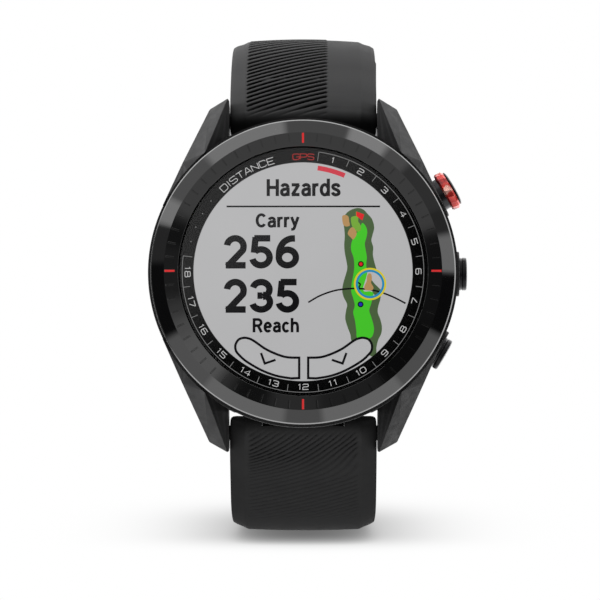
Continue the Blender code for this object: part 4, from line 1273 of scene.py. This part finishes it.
def rear_cover():
    cover = to_object("rear_cover_look", turned(softened(COVER_PROFILE, 0.25)))
    cuts = [to_object("hole", turned(COVER_HOLE, 40), place(x, y)) for x, y in SCREWS]
    slot = prism(rounded(4.35, 1.55, 0.8), 1.0, 3.4)
    cuts.append(to_object("slot", slot, place(0, CONTACT_Y)))
    # A shallow ring round the sensor, and another near the rim.
    for inner in (12.6, 18.9):
        outer = inner + 0.22
        groove_profile = [(inner, 1.2), (outer, 1.2), (outer, 1.62), (inner, 1.62)]
        cuts.append(to_object("ring", turned(groove_profile, 160)))
    combine(cover, cuts, sharp=30)
    piece(cover, "cover_polymer", "case", "rear_cover")


def sensor():
    stand_in("sensor_window", disc(7.65, 0.0, 0.95, 0.15), "sensor_glass")
    for i, (x, y, radius) in enumerate(SENSOR_RINGS):
        band = [circle(x, y, radius), circle(x, y, radius - 0.12)]
        layer(f"sensor_ring_{i}", "dial_line", [band], -0.004, 0.0)


def cover_screws():
    lobes = [0.68 if k % 4 in (0, 1) else 0.5 for k in range(24)]
    star = [polar(radius, math.tau * k / 24) for k, radius in enumerate(lobes)]
    for i, (x, y) in enumerate(SCREWS, 1):
        node = f"cover_screw_{i}"
        solid = turned(softened(SCREW_PROFILE, 0.12, 2, closed=False), 48)
        screw = to_object(f"{node}_look", solid, place(x, y))
        combine(screw, [to_object("drive", prism(star, 1.2, 2.0), place(x, y))])
        piece(screw, "screw_steel", "case", node)


def charge_contacts():
    for i, x in enumerate(CONTACTS, 1):
        pin = disc(0.55, 1.55, 3.55, 0.14, 40)
        stand_in(f"charge_contact_{i}", pin, "contact_gold", at=place(x, CONTACT_Y))


rear_cover()
sensor()
cover_screws()
charge_contacts()


# ---- Buttons: profiles are (radius, distance out along the push axis) -----------------------
STEM = [
    (0.0, 17.9), (STEM_R, 17.9), (STEM_R, 18.22), (0.88, 18.22), (0.88, 18.66), (STEM_R, 18.66)
]
PLUNGER = [(STEM_R, 23.1), (2.3, 23.1), (2.45, 23.25), (2.45, 26.0), (0, 26.0)]
COLLAR = [(COLLAR_BORE, 24.6), (2.86, 24.6), (3.1, 24.86), (3.1, 25.78), (2.9, 26.02),
          (COLLAR_BORE, 26.05)]
UPPER_CAP = [(0, 26.1), (2.72, 26.1), (2.72, 26.3), (2.3, 26.47), (1.2, 26.56), (0, 26.58)]
PLAIN_CAP = [
    (STEM_R, 23.1), (2.5, 23.1), (2.5, 23.95), (2.42, 24.05), (2.42, 24.15), (2.5, 24.25),
    (2.5, 24.85), (1.6, 24.95), (0, 25.0),
]


def coil(radius, wire, bottom, top, turns, sides=12, per_turn=40):
    """A round-wire spring."""
    solid = bmesh.new()
    steps = int(turns * per_turn)
    rings = []
    for i in range(steps + 1):
        angle = math.tau * i / per_turn
        rise = smoothstep(0.0, 1.0, i / steps) * 0.35 + 0.65 * i / steps
        middle = bottom + wire + (top - bottom - 2 * wire) * rise
        ring = []
        for k in range(sides):
            out, up = polar(wire, math.tau * k / sides)
            ring.append(solid.verts.new((*polar(radius + out, angle), middle + up)))
        rings.append(ring)
    tube(solid, rings)
    return solid


def spring(name, at):
    """The return spring, at rest."""
    node = f"{name}_button_spring"
    solid = coil(radius=1.7, wire=0.15, bottom=SPRING_FOOT, top=SPRING_HEAD, turns=2.6)
    obj = to_object(f"{node}_look", solid, at)
    piece(obj, "screw_steel", "case", node)
    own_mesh(obj)


def collar():
    """The red collar, with cut facets so it sparkles."""
    segments = 36
    solid = bmesh.new()
    rings = []
    for j, (radius, z) in enumerate(COLLAR):
        shift = 0.5 if j in (3, 4) else 0.0
        ring = []
        for i in range(segments):
            dip = 0.06 if j not in (0, 5) and i % 2 else 0.0
            angle = math.tau * (i + shift) / segments
            ring.append(solid.verts.new((*polar(radius - dip, angle), z)))
        rings.append(ring)
    for first, second in zip(rings, rings[1:] + rings[:1]):
        for i in range(segments):
            j = (i + 1) % segments
            solid.faces.new((first[i], second[i], second[j]))
            solid.faces.new((first[i], second[j], first[j]))
    return solid


def upper_button(at):
    body = "upper_button"
    plunger = turned(STEM + PLUNGER, 96)
    stand_in("upper_button_plunger", plunger, "button_black", body, at)
    stand_in("upper_button_ring", collar(), "button_red", body, at, sharp=8)
    cap = turned(softened(UPPER_CAP, 0.1, closed=False), 96)
    stand_in("upper_button_cap", cap, "button_black", body, at)


def plain_button(name, at):
    cap = turned(STEM + softened(PLAIN_CAP, 0.22, 4, closed=False), 96)
    stand_in(f"{name}_button_cap", cap, "button_black", f"{name}_button", at)


for button, button_angle in BUTTONS.items():
    button_at = button_frame(button_angle)
    spring(button, button_at)
    if button == "upper":
        upper_button(button_at)
    else:
        plain_button(button, button_at)


# ---- Strap ----------------------------------------------------------------------------------
def centre_line(side, along):
    """(y, z, slope) of the strap's centre line in its own frame, along mm from the lug pin."""
    y, z, slope = 0.0, 0.0, START
    for radius, length in RUNS[side]:
        step = min(along, length)
        if radius is None:
            y += step * math.cos(slope)
            z -= step * math.sin(slope)
        else:
            end = slope + step / radius
            y += radius * (math.sin(end) - math.sin(slope))
            z -= radius * (math.cos(slope) - math.cos(end))
            slope = end
        along -= step
        if along <= 0:
            break
    return y, z, slope


def on_strap(side, x, along, out):
    """A point x across, along the strap and out from its centre line, in the strap's frame."""
    y, z, slope = centre_line(side, along)
    return (x, y + out * math.sin(slope), z + out * math.cos(slope))


def strap_place(side, along):
    """The frame at a point of the centre line, with y along the strap."""
    y, z, slope = centre_line(side, along)
    at = STRAP_FRAME[side] @ Matrix.Translation((0, y, z))
    return at @ Matrix.Rotation(-slope, 4, "X")


def half_width(side, along):
    start, end, last = TAPER[side]
    width = STRAP_HALF + 0.06 + (last - STRAP_HALF) * smoothstep(start, end, along)
    if along < 0.8:
        width -= 0.22 * ((0.8 - along) / 3.4) ** 2
    if side == "lower" and along > LOWER_LEN - 7.0:
        # The tip rounds off to a narrow end.
        share = min(1.0, (along - LOWER_LEN + 7.0) / 7.0)
        width = 3.4 + (width - 3.4) * math.sqrt(max(0.0, 1 - share * share))
    return width


def half_thick(side, along):
    if along < 1.0:
        return math.sqrt(max(0.0, BARREL_R**2 - min(along, 0.0) ** 2))
    thick = STRAP_T / 2 + (BARREL_R - STRAP_T / 2) * (1 - smoothstep(0.5, 10.5, along))
    if side == "upper" and along > UPPER_LEN - 4.0:
        # It swells and rounds over the buckle bar.
        thick += 0.4 * smoothstep(UPPER_LEN - 4.0, UPPER_LEN - 1.2, along)
        if along > UPPER_LEN:
            thick = math.sqrt(max(0.0004, 1.85**2 - (along - UPPER_LEN) ** 2))
    if side == "lower" and along > LOWER_LEN - 2.5:
        share = (along - LOWER_LEN + 2.5) / 2.5
        thick *= math.sqrt(max(0.02, 1 - 0.75 * share * share))
    return thick


def groove_bow(side, x):
    """How far along the strap a groove has moved at x. Grooves rise to the right and flatten."""
    x += 2.55 if side == "upper" else 0.0
    return 0.395 * x - 0.003 * x * x


# The upper half's grooves, as (distance along, groove count): wide, then close, then wide.
RHYTHM = [
    (-3.0, -3.6), (-1.74, -2.5), (-0.62, -1.5), (0.52, -0.5), (1.5, 0.5), (2.42, 1.5),
    (3.42, 2.5), (4.36, 3.5), (12.94, 12.5), (13.97, 13.5), (15.17, 14.5), (16.47, 15.5),
    (60.0, 49.0),
]


def groove_count(run):
    for (start, low), (end, high) in zip(RHYTHM, RHYTHM[1:]):
        if run < end:
            break
    return low + (high - low) * (run - start) / (end - start)


def groove(side, x, along):
    """Depth of the moulded grooves at a point of the outer face; the lands stand proud."""
    if side == "upper":
        depth = 0.42
        panel = smoothstep(-8.72, -8.5, x) * (1 - smoothstep(3.5, 3.72, x))
        fade = smoothstep(-1.4, 1.8, along) * (1 - smoothstep(46.0, 47.5, along))
    else:
        depth = 0.18
        panel = smoothstep(-8.7, -8.0, x) * (1 - smoothstep(8.0, 8.7, x))
        fade = smoothstep(-2.1, -1.0, along) * (1 - 0.25 * smoothstep(3.0, 7.0, along))
        fade *= 1 - smoothstep(14.5, 19.0, along)
    if panel * fade <= 0:
        return 0.0
    if side == "upper":
        count = groove_count(along - groove_bow(side, x))
    else:
        # Steep by the case, then they lie down.
        steep = 1 + 0.95 * (1 - smoothstep(1.0, 8.0, along))
        count = (along - steep * groove_bow(side, x)) / 0.92
    wave = abs(count - math.floor(count) - 0.5) * 2
    rise = 0.25 * (1 - smoothstep(34.0, 38.0, along))
    wall_end = 0.6 - 0.12 * (1 - smoothstep(2.0, 5.0, along))
    return depth * panel * fade * (1 - rise - smoothstep(0.08, wall_end, wave))


def connector_skin(x, along):
    """Height of the skin that stays closed over the hard connector."""
    turn = max(0.0, min(along, 7.2) - STRAIGHT) / BEND_R
    height = (1.41 + BEND_R * (1 - math.cos(turn))) / math.cos(turn)
    return height - (2.5 * max(0.0, abs(x) - 6.45)) - 1.2 * max(0.0, along - 7.25)


def strap_section(side):
    """Rules (share, inset, height) for the points once round the strap's section.

    A point's x is share * (half width - inset). height(thick, x, along, scale) gives its
    distance out; scale shrinks the edge rounding where the strap thins.
    """
    dome = DOME[side]
    flat_steps = 96

    def low(up):
        return lambda thick, x, along, scale: up * scale - thick

    def high(down):
        down = max(0.0, down - dome) if down > 0.9 else down * 0.85
        return lambda thick, x, along, scale: thick - (dome + down) * scale

    def top(thick, x, along, scale):
        across = x / (half_width(side, along) - EDGE_INSET)
        land = thick - dome * scale * across * across
        out = land - groove(side, x, along)
        if abs(x) < 6.9 and along < 7.8:
            out = max(out, min(land, connector_skin(x, along)))
        return out

    rules = [(share, 0.0, low(0.0)) for share in (-0.8, -0.4, 0.0, 0.4, 0.8)]
    right = [(1, inset, low(up)) for inset, up in EDGE_LOW]
    right += [(1, inset, high(down)) for inset, down in EDGE_HIGH]
    flat = [(1 - 2 * i / flat_steps, EDGE_INSET, top) for i in range(1, flat_steps)]
    left = [(-1, inset, height) for _, inset, height in reversed(right)]
    return rules + right + flat + left


def strap_stations(side):
    """Distances along the strap of its sections: close together over the grooves."""
    end = UPPER_LEN + 1.8 if side == "upper" else LOWER_LEN
    fine = 0.09
    stations = []
    along = -BARREL_R + 0.03
    for limit, step in (
        (-1.2, 0.12), (PATTERN_END[side], fine), (end - 8.0, 0.7), (end - 0.3, 0.3)
    ):
        while along < limit:
            stations.append(along)
            along += step
    return stations + [end - 0.12, end - 0.02]


def strap_solid(side):
    pattern_end = PATTERN_END[side]
    rules = strap_section(side)
    solid = bmesh.new()
    rings = []
    for station in strap_stations(side):
        # Rows run square across the ends and along the grooves between.
        slant = smoothstep(1.5, 11.5, station)
        slant *= 1 - smoothstep(pattern_end - 4, pattern_end + 7, station)
        width = half_width(side, station)
        ring = []
        for share, inset, height in rules:
            # x depends on the width where the slanted row lands, so it is found in two steps.
            along = station + slant * groove_bow(side, share * (width - inset))
            x = share * (half_width(side, along) - inset)
            thick = half_thick(side, along)
            out = height(thick, x, along, min(1.0, thick / (STRAP_T / 2)))
            ring.append(solid.verts.new(on_strap(side, x, along, out)))
        rings.append(ring)
    tube(solid, rings)
    return solid


def strap_cuts(side):
    at = STRAP_FRAME[side]
    pocket = block(-6.35, 6.35, -4.0, 7.15, -5.0, 1.34)
    cuts = [
        to_object("pin_bore", rod(PIN_R + 0.12, -12, 12), at),
        to_object("connector_pocket", pocket, at @ Matrix.Rotation(-START, 4, "X")),
        to_object("hook_pocket", rod(2.08, -6.35, 6.35), at),
    ]
    if side == "lower":
        for along in HOLES:
            hole = prism(rounded(2.3, 0.95, 0.94), -4, 4)
            cuts.append(to_object("hole", hole, strap_place(side, along)))
    else:
        end = strap_place(side, UPPER_LEN)
        cuts.append(to_object("bar_bore", rod(0.85, -12, 12), end))
        cuts.append(to_object("tongue_slot", block(-1.75, 1.75, -3.4, 4, -5, 5), end))
    return cuts


def strap(side, material):
    obj = to_object(f"{side}_strap_look", strap_solid(side), STRAP_FRAME[side], sharp=60)
    combine(obj, strap_cuts(side), sharp=60)
    obj.data.materials.clear()
    obj.data.materials.append(MATERIALS[material])
    # Points on the centre line at the two ends of the flex stretch given in BEND_AT; the lower
    # half has more free length, so its stretch is longer.
    middle, reach = BEND_AT[side]
    start, end = (
        tuple(in_frame(STRAP_FRAME[side], on_strap(side, 0, along, 0)))
        for along in (middle - reach, middle + reach)
    )
    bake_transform(obj)
    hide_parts(f"{side}_strap", f"{side}_strap_end")


strap("upper", "strap_silicone")
strap("lower", "strap_silicone_lower")

# Small hard parts keep the CAD's shape: (node, width of the rounded edges, material).
for node, edge_width, material in (
    ("buckle_frame", 0.55, None),
    ("buckle_tongue", 0.18, None),
    ("fixed_keeper", 0.35, None),
    ("free_keeper", 0.35, None),
    ("upper_latch", 0.12, None),
    ("lower_latch", 0.12, None),
    ("upper_connector", 0.12, "connector_plastic"),
    ("lower_connector", 0.12, "connector_plastic"),
    ("contact_block", 0.1, None),
):
    refined(node, edge_width, material)
for side, at in STRAP_FRAME.items():
    stand_in(f"{side}_lug_pin", rod(PIN_R, -13.4, 13.4, 64, 0.15), "pin_steel", at=at)
stand_in(
    "buckle_bar", rod(0.7, -11.8, 11.8, 48, 0.1), "screw_steel", "buckle",
    strap_place("upper", UPPER_LEN),
)


# ---- Floor, world, lights and camera, in the frame's metres ---------------------------------
def floor_material():
    """Clear but for the painted shadow under the strap."""
    material = bpy.data.materials.new("floor")
    graph = Graph(material)
    # Painted contact shadow: ambient occlusion darkens the floor close to the strap.
    inputs = {"Distance": 0.004, "Color": (1, 1, 1, 1)}
    near = graph.add("AmbientOcclusion", inputs, samples=16).outputs["AO"]
    contact = graph.smooth(near, low=-0.3, high=0.9, at_low=0.35)
    # The wide shadow is painted at a fixed place: it thins out round where the strap stands at
    # rest, and ends sooner in front of the strap than behind it.
    half_x, centre_y, front_reach, more_behind, depth = 0.0168, -0.0036, 0.0146, 0.0115, 0.66

    def falloff(value, reach, power):
        share = graph.maths("ABSOLUTE", graph.maths("DIVIDE", value, reach))
        return graph.maths("POWER", share, power)

    spot = graph.add("SeparateXYZ", {0: graph.coords()}).outputs
    across = falloff(spot[0], half_x, 2.0)
    behind = graph.maths("SUBTRACT", spot[1], centre_y)
    extra = graph.maths("MULTIPLY", graph.maths("GREATER_THAN", behind, 0.0), more_behind)
    along = falloff(behind, graph.maths("ADD", front_reach, extra), 3.0)
    total = graph.maths("MULTIPLY", graph.maths("ADD", across, along), -1.0)
    wide = graph.maths("MULTIPLY", graph.maths("EXPONENT", total), depth)
    shadow = graph.maths("MULTIPLY", contact, graph.maths("SUBTRACT", 1.0, wide))
    colour = graph.add("CombineColor", {i: shadow for i in range(3)})
    graph.finish(graph.add("BsdfTransparent", {"Color": colour.outputs[0]}))
    return material


def floor():
    """A tilted disc under the strap that shows only as the watch's painted soft shadow."""
    mesh = bpy.data.meshes.new("floor")
    steps = 48
    rim = [(x, y, 0) for x, y in circle(0, 0, 0.5, steps)]
    mesh.from_pydata(rim, [], [list(range(steps))])
    mesh.materials.append(floor_material())
    obj = bpy.data.objects.new("floor", mesh)
    bpy.context.scene.collection.objects.link(obj)
    lowest = CAD_BOX[0][2]
    obj.location = (0.0, 0.0326, lowest + 0.0005)
    obj.rotation_euler = (math.radians(9.0), 0, 0)
    obj.visible_shadow = False
    obj.visible_diffuse = False
    obj.visible_glossy = False


# Brightness round the watch: (start angle in degrees from 3 o'clock towards 12, brightness).
# SIDE_BOXES are seen in the bezel's slope, and FRONT_ROOM in its flat.
SIDE_BOXES = [
    (3, 0.86), (18, 0.12), (28, 0.18), (48, 0.42), (58, 1.33), (73, 0.38), (97, 1.1),
    (128, 0.47), (148, 1.15), (158, 0.11), (173, 0.012), (203, 0.54), (227, 0.84), (262, 0.47),
    (278, 0.89), (313, 0.52), (338, 0.012),
]
FRONT_ROOM = [
    (18, 0.33), (156, 0.035), (169, 0.08), (192, 0.24), (200, 0.48), (209, 0.64), (231, 0.17),
    (238, 0.035), (255, 0.16), (276, 0.09), (305, 0.018), (336, 0.035),
]


def bands(graph, turn, table, blur):
    """Steps through the table's brightnesses, blurred by that many degrees each way."""
    level_before = table[-1][1]
    value = None
    for start, level in table:
        low, high = (start - blur) / 360, (start + blur) / 360
        step = graph.smooth(turn, low, high, at_high=level - level_before)
        value = step if value is None else graph.maths("ADD", value, step)
        level_before = level
    return graph.maths("ADD", value, level_before)


def world():
    """A white studio: soft boxes and dark gaps round the sides, white behind."""
    studio = bpy.data.worlds.new("studio")
    bpy.context.scene.world = studio
    graph = Graph(studio)
    x, y, z = graph.add("SeparateXYZ", {0: graph.coords("Generated")}).outputs

    def turn_at(height):
        turn = graph.maths("DIVIDE", graph.maths("ARCTAN2", height, x), math.tau)
        return graph.maths("FRACT", graph.maths("ADD", turn, 1.0))

    sides = bands(graph, turn_at(z), SIDE_BOXES, blur=1.8)
    lifted = graph.maths("SUBTRACT", z, 0.06)
    front = bands(graph, turn_at(lifted), FRONT_ROOM, blur=3.5)
    # Straight in front, seen in the lens: a pale window edge that fades to the lower right.
    leftward = graph.maths("MULTIPLY", x, -0.6)
    along = graph.maths("ADD", leftward, graph.maths("MULTIPLY", lifted, 0.8))
    centre = graph.smooth(along, low=-0.004, high=0.0205, at_low=0.01, at_high=0.62)
    towards = graph.maths("MULTIPLY", y, -1.0)
    light = graph.mix(graph.smooth(towards, low=0.45, high=0.8), sides, front)
    light = graph.mix(graph.smooth(towards, low=0.988, high=0.993), light, centre)
    # Behind the watch: bright, but dark towards 9 o'clock.
    to_left = graph.smooth(graph.maths("MULTIPLY", x, -1.0), low=0.62, high=0.7)
    bright_behind, dark_left, diffuse_light, backdrop = 1.8, 0.16, 0.1, 1.0
    rim = graph.mix(to_left, bright_behind, dark_left)
    light = graph.mix(graph.smooth(y, low=0.25, high=0.5), light, rim)
    rays = graph.add("LightPath").outputs
    light = graph.mix(rays["Is Diffuse Ray"], light, diffuse_light)
    strength = graph.mix(rays["Is Camera Ray"], light, backdrop)
    inputs = {"Color": (1, 1, 1, 1), "Strength": strength}
    graph.finish(graph.add("Background", inputs), "OutputWorld")


def soft_light(name, at, size, watts, target=(0, 0, 0), mirrored=False):
    """A round soft box. Unless mirrored, it lights surfaces without showing in them."""
    data = bpy.data.lights.new(name, "AREA")
    data.shape = "DISK"
    data.size = size
    data.energy = watts
    light = bpy.data.objects.new(name, data)
    bpy.context.scene.collection.objects.link(light)
    light.location = at
    light.rotation_euler = (Vector(target) - Vector(at)).to_track_quat("-Z", "Y").to_euler()
    light.visible_glossy = mirrored
    light.visible_camera = False
    return light


def light_linked(light, name, excluded=False):
    """Lets the light reach only the named object, or everything but it."""
    group = bpy.data.collections.new(f"{light.name}_{'off' if excluded else 'only'}")
    group.objects.link(bpy.data.objects[name])
    if excluded:
        group.collection_objects[0].light_linking.link_state = "EXCLUDE"
    light.light_linking.receiver_collection = group


def lights():
    soft_light("top", at=(-0.09, 0.03, 0.75), size=0.4, watts=7.5)
    left = soft_light("left", at=(-0.72, -0.06, 0.0), size=0.35, watts=4.8)
    right = soft_light("right", at=(0.72, -0.06, 0.0), size=0.35, watts=2.45)
    soft_light("front", at=(0.0, -0.75, -0.3), size=0.5, watts=0.72)
    low_front = soft_light("low_front", at=(0.0, -0.75, -0.22), size=0.5, watts=2.6)
    sparkle = soft_light(
        "sparkle", at=(0.22, -0.62, 0.3), size=0.16, watts=2.0,
        target=(0.022, -0.007, 0.012), mirrored=True,
    )
    light_linked(sparkle, "upper_button_ring_look")
    light_linked(low_front, "lower_strap_look")
    for light in (left, right):
        light_linked(light, "lower_strap_look", excluded=True)


def camera():
    """A long lens in front of the watch, a little below it."""
    data = bpy.data.cameras.new("camera")
    obj = bpy.data.objects.new("camera", data)
    bpy.context.scene.collection.objects.link(obj)
    bpy.context.scene.camera = obj
    distance, elevation, azimuth = 0.8, math.radians(-3.5), math.radians(0.2)
    target = Vector((0, -0.014, 0))
    level = math.cos(elevation)
    back = Vector((math.sin(azimuth) * level, -math.cos(azimuth) * level, math.sin(elevation)))
    obj.location = target + back * distance
    obj.rotation_euler = (-back).to_track_quat("-Z", "Y").to_euler()
    data.sensor_width = 36.0
    data.lens = 317.76
    data.shift_x = -0.005
    data.shift_y = -0.0478333
    data.clip_end = 10.0
    data.clip_start = 0.01


floor()
world()
lights()
bpy.context.scene.view_settings.view_transform = "Standard"
bpy.context.scene.view_settings.look = "None"
camera()
